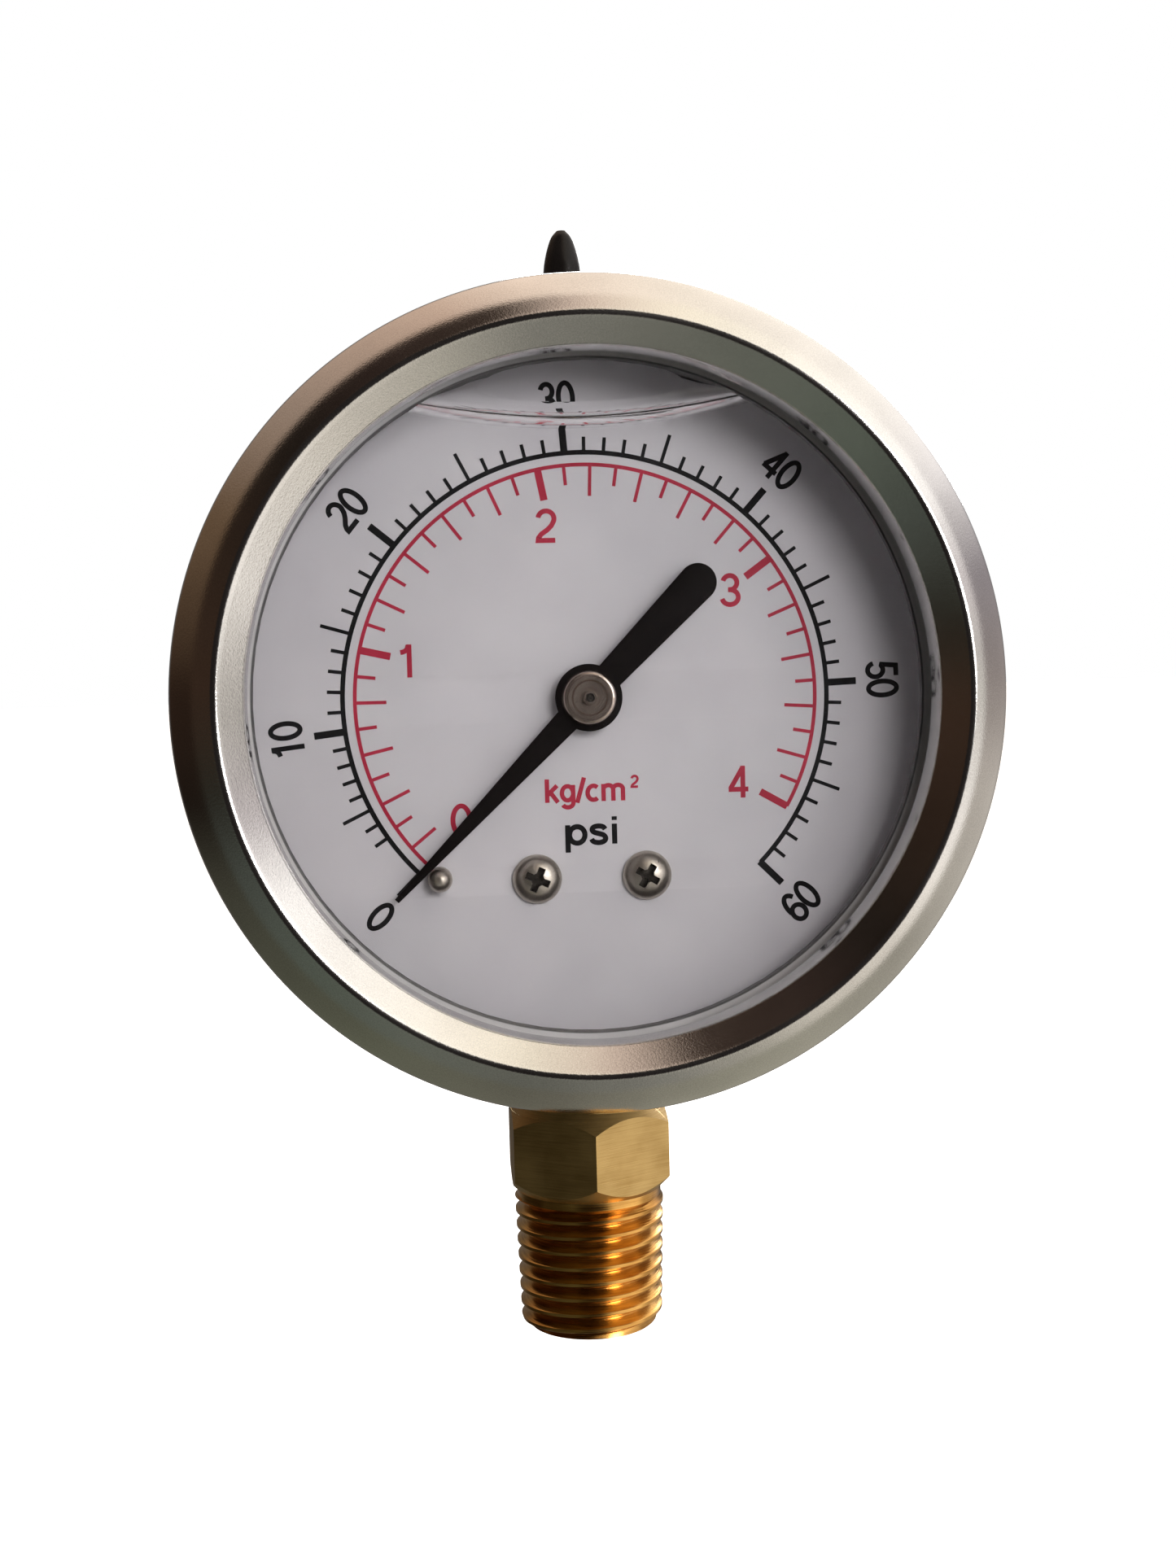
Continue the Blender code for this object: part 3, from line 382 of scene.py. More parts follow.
# ---- materials -------------------------------------------------------------------------------
class NodeTree:
    """A node tree, with short ways to add to it."""

    def __init__(self, tree):
        self.tree = tree

    def add(self, kind, **settings):
        node = self.tree.nodes.new(kind)
        for key, value in settings.items():
            setattr(node, key, value)
        return node

    def link(self, source, target):
        self.tree.links.new(source, target)

    def give(self, socket, value):
        """Sets a socket to a number or a colour, or links it to another node's output."""
        if isinstance(value, bpy.types.NodeSocket):
            self.link(value, socket)
        elif isinstance(value, tuple):
            socket.default_value = (*value, 1.0)
        else:
            socket.default_value = value

    def parts(self, vector):
        node = self.add("ShaderNodeSeparateXYZ")
        self.link(vector, node.inputs[0])
        return node.outputs

    def math(self, operation, *values):
        node = self.add("ShaderNodeMath", operation=operation)
        for socket, value in zip(node.inputs, values):
            self.give(socket, value)
        return node.outputs["Value"]

    def span(self, factor, source, target=(0.0, 1.0), **settings):
        """Maps one range of values to another."""
        node = self.add("ShaderNodeMapRange", **settings)
        for key, value in zip(("From Min", "From Max", "To Min", "To Max"), (*source, *target)):
            node.inputs[key].default_value = value
        self.link(factor, node.inputs["Value"])
        return node.outputs["Result"]

    def ramp(self, factor, *stops):
        node = self.add("ShaderNodeValToRGB")
        steps = node.color_ramp.elements
        while len(steps) < len(stops):
            steps.new(1.0)
        for step, (position, colour) in zip(steps, stops):
            step.position = position
            step.color = (*colour, 1.0)
        self.link(factor, node.inputs["Fac"])
        return node.outputs["Color"]

    def mixed(self, factor, one, other):
        """The first colour where the factor is 0, and the other where it is 1."""
        node = self.add("ShaderNodeMix", data_type="RGBA")
        self.give(node.inputs[0], factor)
        sockets = [socket for socket in node.inputs if socket.type == "RGBA"]
        for socket, value in zip(sockets, (one, other)):
            self.give(socket, value)
        return next(socket for socket in node.outputs if socket.type == "RGBA")


class Surface(NodeTree):
    """A material, its shader, and the point whose place in the part sets each pattern."""

    def __init__(self, name):
        self.material = bpy.data.materials.new(name)
        self.material.use_nodes = True
        super().__init__(self.material.node_tree)
        self.shader = self.tree.nodes["Principled BSDF"]
        self.place = self.add("ShaderNodeTexCoord").outputs["Object"]

    def noise(self, per_mm, detail=4.0, stretch=(1, 1, 1), roughness=0.5):
        """Noise with this many features to the millimetre."""
        scaled = self.add("ShaderNodeMapping")
        scaled.inputs["Scale"].default_value = stretch
        self.link(self.place, scaled.inputs["Vector"])
        node = self.add("ShaderNodeTexNoise")
        node.inputs["Scale"].default_value = per_mm / MM
        node.inputs["Detail"].default_value = detail
        node.inputs["Roughness"].default_value = roughness
        self.link(scaled.outputs["Vector"], node.inputs["Vector"])
        return node.outputs["Fac"]

    def clouded(self, cloud, fine):
        """Soft patches with some of a finer pattern in them."""
        return self.math("ADD", self.math("MULTIPLY", cloud, 0.6), self.math("MULTIPLY", fine, 0.4))

    def bump(self, height, depth):
        """Bump from a height of 0 to 1, this many millimetres deep."""
        node = self.add("ShaderNodeBump")
        node.inputs["Distance"].default_value = depth * MM
        node.inputs["Strength"].default_value = 1.0
        self.link(height, node.inputs["Height"])
        self.link(node.outputs["Normal"], self.shader.inputs["Normal"])

    def set(self, **values):
        for key, value in values.items():
            self.give(self.shader.inputs[key.replace("_", " ")], value)


def metal(name, dark, light, rough, patches, grain, depth, stretch=(1, 1, 1), speckle=0.0):
    """Metal whose colour drifts in soft patches and whose surface has a fine grain."""
    made = Surface(name)
    fine = made.noise(grain, 2.0, stretch)
    pattern = made.clouded(made.noise(patches), fine)
    colour = made.ramp(pattern, (0.35, dark), (0.62, light))
    made.set(Base_Color=colour, Roughness=made.span(pattern, (0.35, 0.65), rough), Metallic=1.0)
    height = fine
    if speckle:
        coarse = made.noise(speckle, 1.0, roughness=0.7)
        height = made.math("ADD", made.math("MULTIPLY", fine, 0.5), coarse)
    made.bump(height, depth)
    return made.material


def coated(name, dark, light, rough, grain, depth, specular=0.5):
    """Paint, print or rubber: a dull colour with slight mottling and a fine texture."""
    made = Surface(name)
    cloud = made.noise(0.15)
    made.set(Base_Color=made.ramp(cloud, (0.3, dark), (0.7, light)))
    made.set(Roughness=made.span(cloud, (0.3, 0.7), rough), Specular_IOR_Level=specular)
    made.bump(made.noise(grain, 3.0), depth)
    return made.material


def gasket(name):
    """Pale rubber ring, with painted shade that darkens it at its inner edge."""
    made = Surface(name)
    cloud = made.noise(0.3)
    place = made.parts(made.place)
    up = made.math("SUBTRACT", place["Z"], AXIS_Z * MM)
    squares = [made.math("MULTIPLY", way, way) for way in (place["X"], up)]
    radius = made.math("SQRT", made.math("ADD", *squares))
    # Painted shade at the gasket's inner edge: 0 there, 1 a fraction of a millimetre further out, then
    # times a slight mottling.
    out = made.span(radius, [edge * MM for edge in GASKET_SHADE_EDGE_R])
    shade = made.math("MULTIPLY", out, made.span(cloud, (0.3, 0.7), (0.85, 1.0)))
    # Near black where the painted shade lies, the rubber's own pale grey elsewhere.
    colour = made.ramp(shade, (0.0, (0.10, 0.098, 0.10)), (1.0, (0.56, 0.55, 0.555)))
    made.set(Base_Color=colour, Roughness=made.span(cloud, (0.3, 0.7), (0.5, 0.7)))
    made.set(Specular_IOR_Level=0.2)
    made.bump(made.noise(5.0, 3.0), 0.02)
    return made.material


def clear(name, faint, ior):
    """A clear solid that lets direct light through to what lies behind it."""
    white = (1.0, 1.0, 1.0)
    made = Surface(name)
    made.set(Base_Color=made.ramp(made.noise(0.1, 2.0), (0.3, white), (0.7, faint)))
    made.set(Roughness=0.0, IOR=ior, Transmission_Weight=1.0)
    see_through = made.add("ShaderNodeBsdfTransparent")
    made.give(see_through.inputs["Color"], white)
    mix = made.add("ShaderNodeMixShader")
    is_shadow = made.add("ShaderNodeLightPath").outputs["Is Shadow Ray"]
    for socket, source in zip(mix.inputs, (is_shadow, made.shader.outputs[0], see_through.outputs[0])):
        made.link(source, socket)
    made.link(mix.outputs[0], made.tree.nodes["Material Output"].inputs["Surface"])
    return made.material


def stem_brass(name):
    """Brass that is polished on the thread and duller and ground from the hexagon up. On the thread it
    is also more orange, a painted reflection of the thread's flanks in each other.
    """
    made = Surface(name)
    lines = made.noise(4.0, 2.0, (0.06, 0.06, 3.0))
    pattern = made.clouded(made.noise(0.25), lines)
    upper = made.span(made.parts(made.place)["Z"], [z * MM for z in BRASS_CHANGE_Z])
    # More orange on the thread: brass with a painted reflection of the thread's flanks in one another.
    thread = made.ramp(pattern, (0.35, (0.42, 0.2, 0.045)), (0.62, (0.74, 0.42, 0.12)))
    ground = made.ramp(pattern, (0.35, (0.36, 0.23, 0.08)), (0.62, (0.52, 0.36, 0.145)))
    polish = made.span(pattern, (0.35, 0.65), (0.15, 0.26))
    dulled = made.math("ADD", polish, made.math("MULTIPLY", upper, 0.26))
    made.set(Base_Color=made.mixed(upper, thread, ground), Roughness=dulled, Metallic=1.0)
    made.bump(lines, 0.010)
    return made.material


STEEL = ((0.50, 0.49, 0.475), (0.66, 0.65, 0.63))
# Darkest and lightest colour, range of roughness, patches and grain to the millimetre, depth of the
# grain, and for some how the grain is stretched and a coarser speckle.
METALS = {
    "bezel_steel": (*STEEL, (0.11, 0.18), 0.08, 9.0, 0.006, (1, 1, 1), 4.5),
    "case_steel": (*STEEL, (0.24, 0.36), 0.1, 7.0, 0.003, (1, 0.12, 1)),
    # Painted shade: dark steel for the inside wall of the case.
    "case_inside_painted_shade": ((0.10, 0.098, 0.095), (0.18, 0.175, 0.17), (0.4, 0.55), 0.2, 6.0, 0.003),
    "movement_brass": ((0.60, 0.38, 0.13), (0.80, 0.56, 0.24), (0.26, 0.4), 0.3, 8.0, 0.002),
    "tube_bronze": ((0.48, 0.25, 0.12), (0.70, 0.42, 0.24), (0.3, 0.46), 0.2, 6.0, 0.003),
    "plated_screws": ((0.38, 0.345, 0.30), (0.54, 0.495, 0.435), (0.27, 0.37), 0.5, 9.0, 0.001),
    "pins_steel": ((0.50, 0.49, 0.48), (0.70, 0.69, 0.67), (0.18, 0.3), 0.5, 9.0, 0.002),
    "spring_steel": ((0.34, 0.34, 0.39), (0.54, 0.54, 0.58), (0.22, 0.34), 0.5, 9.0, 0.002),
    # Painted shade: near black metal for the cross slots of the screws and the hub's centre hole.
    "recess_painted_shade": ((0.04, 0.036, 0.032), (0.13, 0.12, 0.105), (0.25, 0.4), 1.6, 8.0, 0.002),
    "hub_metal": ((0.42, 0.35, 0.305), (0.54, 0.455, 0.40), (0.2, 0.27), 0.5, 9.0, 0.0002),
}
# Darkest and lightest colour, range of roughness, grain to the millimetre and its depth, and how much
# the surface mirrors.
COATINGS = {
    "plug_rubber": ((0.006, 0.005, 0.005), (0.013, 0.011, 0.010), (0.2, 0.3), 2.5, 0.02, 0.15),
    "seal_rubber": ((0.012, 0.012, 0.012), (0.024, 0.023, 0.023), (0.4, 0.55), 5.0, 0.01),
    "dial_paint": ((0.68, 0.665, 0.70), (0.74, 0.725, 0.755), (0.5, 0.62), 6.0, 0.003, 0.3),
    "pointer_paint": ((0.004, 0.003, 0.003), (0.008, 0.006, 0.006), (0.4, 0.55), 8.0, 0.004, 0.05),
    "print_black": ((0.006, 0.006, 0.007), (0.014, 0.014, 0.016), (0.4, 0.55), 9.0, 0.002, 0.1),
    "print_red": ((0.42, 0.015, 0.045), (0.55, 0.03, 0.07), (0.4, 0.55), 9.0, 0.002, 0.3),
}


def make_finishes():
    """One material to each slot of the record, and those of the pieces that only show."""
    finishes = {name: metal(name, *values) for name, values in METALS.items()}
    finishes |= {name: coated(name, *values) for name, values in COATINGS.items()}
    finishes["gasket_rubber"] = gasket("gasket_rubber")
    finishes["socket_brass"] = stem_brass("socket_brass")
    finishes["window_glass"] = clear("window_glass", (0.97, 0.98, 0.98), 1.5)
    finishes["liquid"] = clear("liquid", (0.985, 0.985, 0.98), 1.47)
    return finishes


# ---- case, bezel, window, liquid -------------------------------------------------------------
def bezel_bends(inset):
    """Stations of the bezel's front, from the inner cone over the crest to the side wall."""

    def bend(centre, radius, start, end, steps):
        return arc(radius - inset, start - 90, end - 90, steps, centre)

    def carried_on(centre, change, tilt):
        return [c + change * d for c, d in zip(centre, polar(1, tilt - 90))]

    start, end = BAND_TILT
    sine, last_sine = math.sin(math.radians(start)), math.sin(math.radians(end))
    reach = BEZEL_R - CREST_R - SHOULDER_BEND * (1 - last_sine) - CREST_BEND * sine
    band = reach / (last_sine - sine)
    crest = (CREST_R, CREST_Y + CREST_BEND)
    slope = carried_on(crest, CREST_BEND - band, start)
    shoulder = carried_on(slope, band - SHOULDER_BEND, end)
    points = bend(crest, CREST_BEND, CONE_TILT, start, 14)
    points += bend(slope, band, start, end, 12)[1:]
    return points + bend(shoulder, SHOULDER_BEND, end, 90, 8)[1:]


def make_bezel(surface):
    wall, back = BEZEL_R - BEZEL_SHEET, BEZEL_BACK_Y
    outside, inside = bezel_bends(0), bezel_bends(BEZEL_SHEET)
    curl = [(BEZEL_R, back - 1.3), (BEZEL_R - 0.1, back - 0.8), (BEZEL_R - 0.3, back - 0.4)]
    curl += [(BEZEL_R - 0.55, back - 0.12), (BEZEL_R - 0.9, back), (CASE_R + 0.6, back)]
    curl += [(CASE_R + 0.6, back - BEZEL_SHEET), (wall - 0.3, back - BEZEL_SHEET)]
    curl += [(wall, back - BEZEL_SHEET - 0.3)]
    end = WINDOW_Y[0] - PRESS_GAP
    outer_throat = LIP_R + BEZEL_SHEET
    throat = [(outer_throat, inside[0][1] + inside[0][0] - outer_throat), (outer_throat, end)]
    throat += [(LIP_R + 0.25, end), (LIP_R, end - 0.25)]
    start = outside[0][1] + outside[0][0] - LIP_R
    throat += [(LIP_R, start + 0.12), (LIP_R + 0.03, start + 0.02), (LIP_R + 0.12, start - 0.12)]
    # A point close to each end of the cone keeps the shading along it even.
    throat += [(LIP_R + 0.15, start - 0.15), (outside[0][0] - 0.03, outside[0][1] + 0.03)]
    made = turned_y("bezel_ring", outside + curl + inside[::-1] + throat, steps=FINE_STEPS)
    finished(made, surface, "gauge_body", "bezel_steel", "bezel", sharp=35.0)


def make_case(finishes):
    inner, back = CASE_R - CASE_SHEET, CASE_BACK_Y
    bend_at = (CASE_R - CASE_CORNER, back - CASE_CORNER)
    profile = [(0, back - CASE_SHEET)] + arc(CASE_CORNER - CASE_SHEET, 90, 0, 10, bend_at)
    profile += [(inner, FLANGE_Y[0]), (FLANGE_R, FLANGE_Y[0]), (FLANGE_R, FLANGE_Y[1])]
    profile += [(CASE_R, FLANGE_Y[1])] + arc(CASE_CORNER, 0, 90, 12, bend_at) + [(0, back)]
    case = turned_y("case_shell", profile, steps=192)
    hole, rim = COLLAR_R
    low, high = COLLAR_Z
    collar = [(hole - 0.6, high), (rim, high), (rim, low + 0.2), (rim - 0.2, low), (hole - 0.6, low)]
    combine(case, turned("collar", collar, along_z(), 94), "UNION")
    combine(case, disc_z("stem_hole", hole, (20, 35), steps=94))
    top = AXIS_Z + CASE_R
    combine(case, disc_z("filling_hole", PLUG_HOLE_R, (top - 6, top + 4), y=PLUG_Y, steps=64))
    finished(case, finishes["case_steel"], "gauge_body", "case_steel", "case")
    # Painted shade on the case's inner wall, from the flange back to the corner.
    painted_shade_y = (FLANGE_Y[0], back - CASE_CORNER)
    paint_shade_near_axis(case, finishes["case_inside_painted_shade"], (0, AXIS_Z), inner + 0.05, painted_shade_y)


def make_window(surface):
    front, back = WINDOW_Y
    cut = WINDOW_CHAMFER
    profile = [(0, front), (WINDOW_R - cut, front), (WINDOW_R, front + cut)]
    profile += [(WINDOW_R, back - cut), (WINDOW_R - cut, back), (0, back)]
    made = turned_y("window_pane", profile, steps=FINE_STEPS)
    finished(made, surface, "gauge_body", "window_glass", "window")


def bubble_outline(rise, radius, share):
    """The air bubble seen from the front: the liquid's surface below, a circle above. With a share
    below 1 it stops short of where the two lines meet, and its ends are round."""

    def lines(x):
        low = BUBBLE_LOW + rise + BUBBLE_TILT * x + x * x / (2 * BUBBLE_ROUND)
        return low, math.sqrt(radius**2 - x * x)

    def end(side):
        x, (low, high) = 0.0, lines(0.0)
        while low < high:
            x += 0.02 * side
            low, high = lines(x)
        return x * share

    left, right = end(-1), end(1)
    lower, upper = [], []
    for i in range(BUBBLE_STEPS + 1):
        across = -math.cos(math.pi * i / BUBBLE_STEPS)
        x = (left + right) / 2 + across * (right - left) / 2
        low, high = lines(x)
        swell = math.sqrt(max(0.0, 1 - across**8)) if share < 1 else 1.0
        middle = (low + high) / 2
        lower.append((x, middle + (low - middle) * swell))
        upper.append((x, middle + (high - middle) * swell))
    return lower + upper[-2:0:-1]


def make_liquid(surface):
    """The glycerine in front of the dial, with the air bubble at the top cut out of it."""
    front, step, back = LIQUID_Y
    profile = [(0, front), (LIQUID_EDGE_R, front), (LIQUID_EDGE_R, step), (LIQUID_R, step)]
    profile += [(LIQUID_R, back), (0, back)]
    liquid = turned_y("glycerine", profile, steps=FINE_STEPS)
    glass_r, widest_r = BUBBLE_TOP_R
    at_glass = bubble_outline(RISE_AT_GLASS, glass_r, BUBBLE_GLASS_SHARE)
    inside = bubble_outline(0.0, widest_r, 1.0)
    at_dial = bubble_outline(RISE_AT_DIAL, widest_r, 1.0)
    parts = [i / RISE_STEPS for i in range(RISE_STEPS + 1)]
    stations = [(front - 0.1, at_glass, 0.0)]
    stations += [(front + RISE_REACH * part, at_glass, part) for part in parts]
    stations += [(DIAL_Y[0] - RISE_REACH * part, at_dial, part) for part in reversed(parts)]
    stations.append((DIAL_Y[0] + 0.4, at_dial, 0.0))
    work = bmesh.new()
    loops = []
    for y, outline, part in stations:
        grown = math.sqrt(1 - (1 - part) ** 2)
        points = [Vector(one).lerp(Vector(other), grown) for one, other in zip(outline, inside)]
        loops.append([work.verts.new(Vector((p.x, y, AXIS_Z + p.y)) * MM) for p in points])
    join_rings(work, loops, False)
    work.faces.new(loops[0])
    work.faces.new(loops[-1])
    combine(liquid, from_work("bubble", work))
    finished(liquid, surface, "gauge_body", None, sharp=25.0)


def make_filling_plug(surface):
    """Rubber plug: a flange that follows the case's curve, a snip-off nipple, and a barb inside."""
    top = AXIS_Z + CASE_R
    outline = [(0.45, 0.1), (0.95, 0.7), (1.35, 1.8), (1.62, 3.0), (1.75, 4.1), (1.95, 4.9)]
    outline += [(2.5, 6.0), (3.6, 7.8), (5.2, 8.4), (5.6, 9.0)]
    outer = [(0, PLUG_TIP_Z)] + [(r, PLUG_TIP_Z - down) for r, down in smooth_path(outline, 5)]
    outer += [(5.6, top - 1.2), (0, top - 1.2)]
    plug = turned("rubber_plug", outer, along_z(PLUG_Y), 72)
    round_y = [(0, -12), (CASE_R + PRESS_GAP, -12), (CASE_R + PRESS_GAP, 12), (0, 12)]
    combine(plug, turned_y("case_round", round_y, steps=192))
    barb = [(0, top + 0.8), (PLUG_HOLE_R - 0.15, top + 0.8), (PLUG_HOLE_R - 0.15, top - 1.3)]
    barb += [(4.7, top - 1.3), (4.7, top - 1.8), (3.9, top - 2.7), (0, top - 2.7)]
    combine(plug, turned("plug_barb", barb, along_z(PLUG_Y), 72), "UNION")
    finished(plug, surface, "gauge_body", "plug_rubber", "filling_plug")


# ---- socket ----------------------------------------------------------------------------------
def make_thread():
    """Tapered pipe thread as one solid, its crests on a helix. Rows of points run along the axis
    and move up by one pitch a turn, so that the last row meets the first one."""
    turns = math.ceil(THREAD_TOP_Z / THREAD_PITCH) + 3
    taper = (THREAD_R[1] - THREAD_R[0]) / THREAD_TOP_Z
    start, end = THREAD_R[0] - THREAD_START_DROP, NECK_R - 0.05

    def point(turn, form, angle):
        """The thread runs out in a cone at each end."""
        along, below = form
        z = (turn - 2 + along + angle / math.tau) * THREAD_PITCH
        z = min(max(z, 0.0), THREAD_TOP_Z)
        radius = max(THREAD_R[0] + taper * z - below, end - 1.1 * (THREAD_TOP_Z - z))
        radius = min(radius, start + 1.2 * z)
        if z == 0.0:
            radius = start
        if z == THREAD_TOP_Z:
            radius = end
        return Vector((radius * math.cos(angle), radius * math.sin(angle), z)) * MM

    work = bmesh.new()
    columns = []
    for i in range(ROUND_STEPS):
        angle = math.tau * i / ROUND_STEPS
        spots = [point(turn, form, angle) for turn in range(turns) for form in THREAD_FORM]
        columns.append([work.verts.new(spot) for spot in spots])
    last = len(columns[0]) - 1
    for i, column in enumerate(columns):
        wraps = i == ROUND_STEPS - 1
        following = columns[0] if wraps else columns[i + 1]
        shift = len(THREAD_FORM) if wraps else 0
        for row in range(last):
            upper = following[min(row + shift + 1, last)], following[min(row + shift, last)]
            corners = list(dict.fromkeys([column[row], column[row + 1], *upper]))
            if len(corners) > 2:
                work.faces.new(corners)
    bmesh.ops.remove_doubles(work, verts=work.verts, dist=1e-7)
    bmesh.ops.dissolve_degenerate(work, edges=work.edges, dist=1e-8)
    rims = [edge for edge in work.edges if edge.is_boundary]
    bmesh.ops.holes_fill(work, edges=rims)
    return from_work("pipe_thread", work)


def make_socket(surface):
    """Brass stem: thread, hexagon, the round that fills the collar, and the block inside."""
    corner = HEX_FLAT / 2 / math.cos(math.pi / 6)
    low, high = HEX_Z
    drop = corner - HEX_FLAT / 2
    waist = HEX_FLAT / 2 - 0.05
    lower = [(0, 20.9), (CLIP_GROOVE_R, 20.9), (CLIP_GROOVE_R + 0.2, high + 0.75), (waist, high)]
    lower += [(waist, low), (NECK_R, low - 0.4), (NECK_R, THREAD_TOP_Z), (0, THREAD_TOP_Z)]
    socket = turned("brass_socket", lower, along_z(), ROUND_STEPS)

    barrel = [(0, high), (HEX_FLAT / 2, high), (corner, high - drop * 0.95), (corner, low + drop)]
    barrel += [(HEX_FLAT / 2, low), (0, low)]
    hexagon = disc_z("hexagon", corner, (low, high), steps=6)
    hexagon.data.transform(Matrix.Rotation(math.radians(30), 4, "Z"))
    combine(hexagon, turned("hexagon_turning", barrel, along_z(), 192), "INTERSECT")
    combine(socket, hexagon, "UNION")

    groove_low, groove_high = SEAL_GROOVE_Z
    core = SHOULDER_HALF[1] - 0.3
    stem = [(0, SHOULDER_Z[0] + 0.5), (core, SHOULDER_Z[0] + 0.5), (core, COLLAR_Z[1] + 0.2)]
    stem += [(STEM_R, COLLAR_Z[1] + 0.2), (STEM_R, groove_high), (SEAL_GROOVE_R, groove_high)]
    stem += [(SEAL_GROOVE_R, groove_low), (STEM_R, groove_low), (STEM_R, CLIP_Z[1] + 0.1)]
    stem += [(CLIP_GROOVE_R, CLIP_Z[1] + 0.1), (CLIP_GROOVE_R, 20.5), (0, 20.5)]
    combine(socket, turned("stem", stem, along_z(), ROUND_STEPS), "UNION")

    across, deep = SHOULDER_HALF
    shoulder = box("shoulder", (-across, -deep, SHOULDER_Z[0]), (across, deep, SHOULDER_Z[1]))
    combine(socket, shoulder, "UNION")
    front, back = BLOCK_Y
    half = BLOCK_HALF_X
    block = box("block", (-half, front, SHOULDER_Z[1] - 0.5), (half, back, BLOCK_TOP_Z))
    combine(socket, block, "UNION")
    ledge = box("ledge", (-half - 1, LEDGE_Y, LEDGE_Z), (half + 1, 9, BLOCK_TOP_Z + 1))
    combine(socket, ledge)

    reach = TUBE_THICK / 2 + PRESS_GAP
    channel = arc(TUBE_R + reach, 240, 274, 16) + arc(TUBE_R - reach, 274, 240, 16)
    half = TUBE_WIDTH / 2 + PRESS_GAP
    combine(socket, flat("tube_channel", [channel], (TUBE_MID_Y - half, TUBE_MID_Y + half)))
    for side in (-1, 1):
        at = (side * DIAL_SCREW_X, AXIS_Z + DIAL_SCREW_Z)
        depth = (front - 1, SCREW_HOLE_END_Y)
        combine(socket, disc_y("dial_screw_hole", DIAL_SCREW_HOLE_R, depth, *at, steps=32))
        at = (side * MOVEMENT_SCREW_X, AXIS_Z + MOVEMENT_SCREW_Z)
        combine(socket, disc_y("movement_hole", MOVEMENT_HOLE_R, (-2.4, 2), *at, steps=32))

    combine(socket, make_thread(), "UNION")
    combine(socket, disc_z("bore", BORE_R, (-1, BORE_DEPTH), steps=64))
    combine(socket, disc_z("passage", PASSAGE_R, (BORE_DEPTH - 1, PASSAGE_TOP_Z), steps=40))
    finished(socket, surface, "gauge_body", "socket_brass", "socket", sharp=35.0)


# ---- dial, print, pointer --------------------------------------------------------------------
def make_dial(surface):
    outlines = [circle(DIAL_R, steps=FINE_STEPS), circle(DIAL_HOLE_R)]
    outlines.append(circle(STOP_HOLE_R, from_top(STOP_R, STOP_ANGLE), 24))
    for side in (-1, 1):
        outlines.append(circle(DIAL_SCREW_HOLE_R, (side * DIAL_SCREW_X, DIAL_SCREW_Z), 32))
    made = flat("dial_plate", outlines, DIAL_Y, 0.06)
    finished(made, surface, "gauge_body", "dial_paint", "dial")


def oval(x, z, half_wide, half_high, start, end, steps=18):
    """Points of an upright ellipse between two angles."""
    return [(x + half_wide * c, z + half_high * s) for c, s in arc(1.0, start, end, steps)]


def ring(x, z, half_wide, half_high):
    return oval(x, z, half_wide, half_high, 0, 360, 32)[:-1], True


def line(*points):
    return list(points), False


# Centre lines of the characters, one high and with their left edge at 0.
CHARACTERS = {
    "0": [ring(0.28, 0.5, 0.215, 0.44)],
    "1": [
        line((0.32, 0.0), (0.32, 0.99)),
        line(*smooth_path([(0.1, 0.75), (0.2, 0.78), (0.27, 0.85), (0.3, 0.97)], 3)),
    ],
    "2": [
        line(
            *oval(0.28, 0.71, 0.2, 0.23, 172, -18),
            *((0.41, 0.5), (0.3, 0.37), (0.15, 0.25), (0.08, 0.14), (0.07, 0.06), (0.5, 0.06)),
        )
    ],
    "3": [
        line(*oval(0.27, 0.725, 0.18, 0.215, 165, -90), (0.22, 0.51)),
        line((0.22, 0.51), *oval(0.27, 0.285, 0.21, 0.225, 90, -168)),
    ],
    "4": [
        line((0.39, 0.0), (0.39, 0.98)),
        line((0.02, 0.26), (0.53, 0.26)),
        line((0.385, 0.92), (0.06, 0.27)),
    ],
    "5": [line((0.47, 0.94), (0.16, 0.94), (0.11, 0.5), *oval(0.275, 0.3, 0.21, 0.24, 128, -165))],
    "6": [ring(0.285, 0.3, 0.205, 0.24), line(*oval(0.3, 0.5, 0.22, 0.44, 38, 190, 14))],
    "p": [line((0.1, -0.27), (0.1, 0.73)), ring(0.33, 0.365, 0.19, 0.3)],
    "s": [
        line(
            *smooth_path(
                [(0.42, 0.54), (0.37, 0.63), (0.26, 0.665), (0.14, 0.63), (0.1, 0.54), (0.14, 0.45)]
                + [(0.26, 0.39), (0.38, 0.33), (0.43, 0.21), (0.38, 0.1), (0.26, 0.06), (0.13, 0.1)]
                + [(0.08, 0.2)],
                3,
            )
        )
    ],
    "i": [line((0.13, 0.0), (0.13, 0.73)), line((0.13, 0.86), (0.13, 1.0))],
    "k": [
        line((0.09, 0.0), (0.09, 1.0)),
        line((0.43, 0.72), (0.1, 0.32)),
        line((0.2, 0.44), (0.45, 0.0)),
    ],
    "g": [ring(0.28, 0.38, 0.19, 0.3), line((0.47, 0.73), *oval(0.285, -0.03, 0.185, 0.19, 0, -155))],
    "/": [line((0.02, -0.04), (0.27, 1.03))],
    "c": [line(*oval(0.28, 0.365, 0.2, 0.3, 48, 312))],
    "m": [
        line((0.1, 0.0), (0.1, 0.73)),
        line((0.1, 0.48), *oval(0.265, 0.5, 0.165, 0.17, 180, 0), (0.43, 0.0)),
        line((0.43, 0.48), *oval(0.595, 0.5, 0.165, 0.17, 180, 0), (0.76, 0.0)),
    ],
}
DIGIT_WIDE = 0.56
WIDE = {"p": 0.6, "s": 0.52, "i": 0.26, "k": 0.5, "g": 0.58, "/": 0.3, "c": 0.52, "m": 0.86}


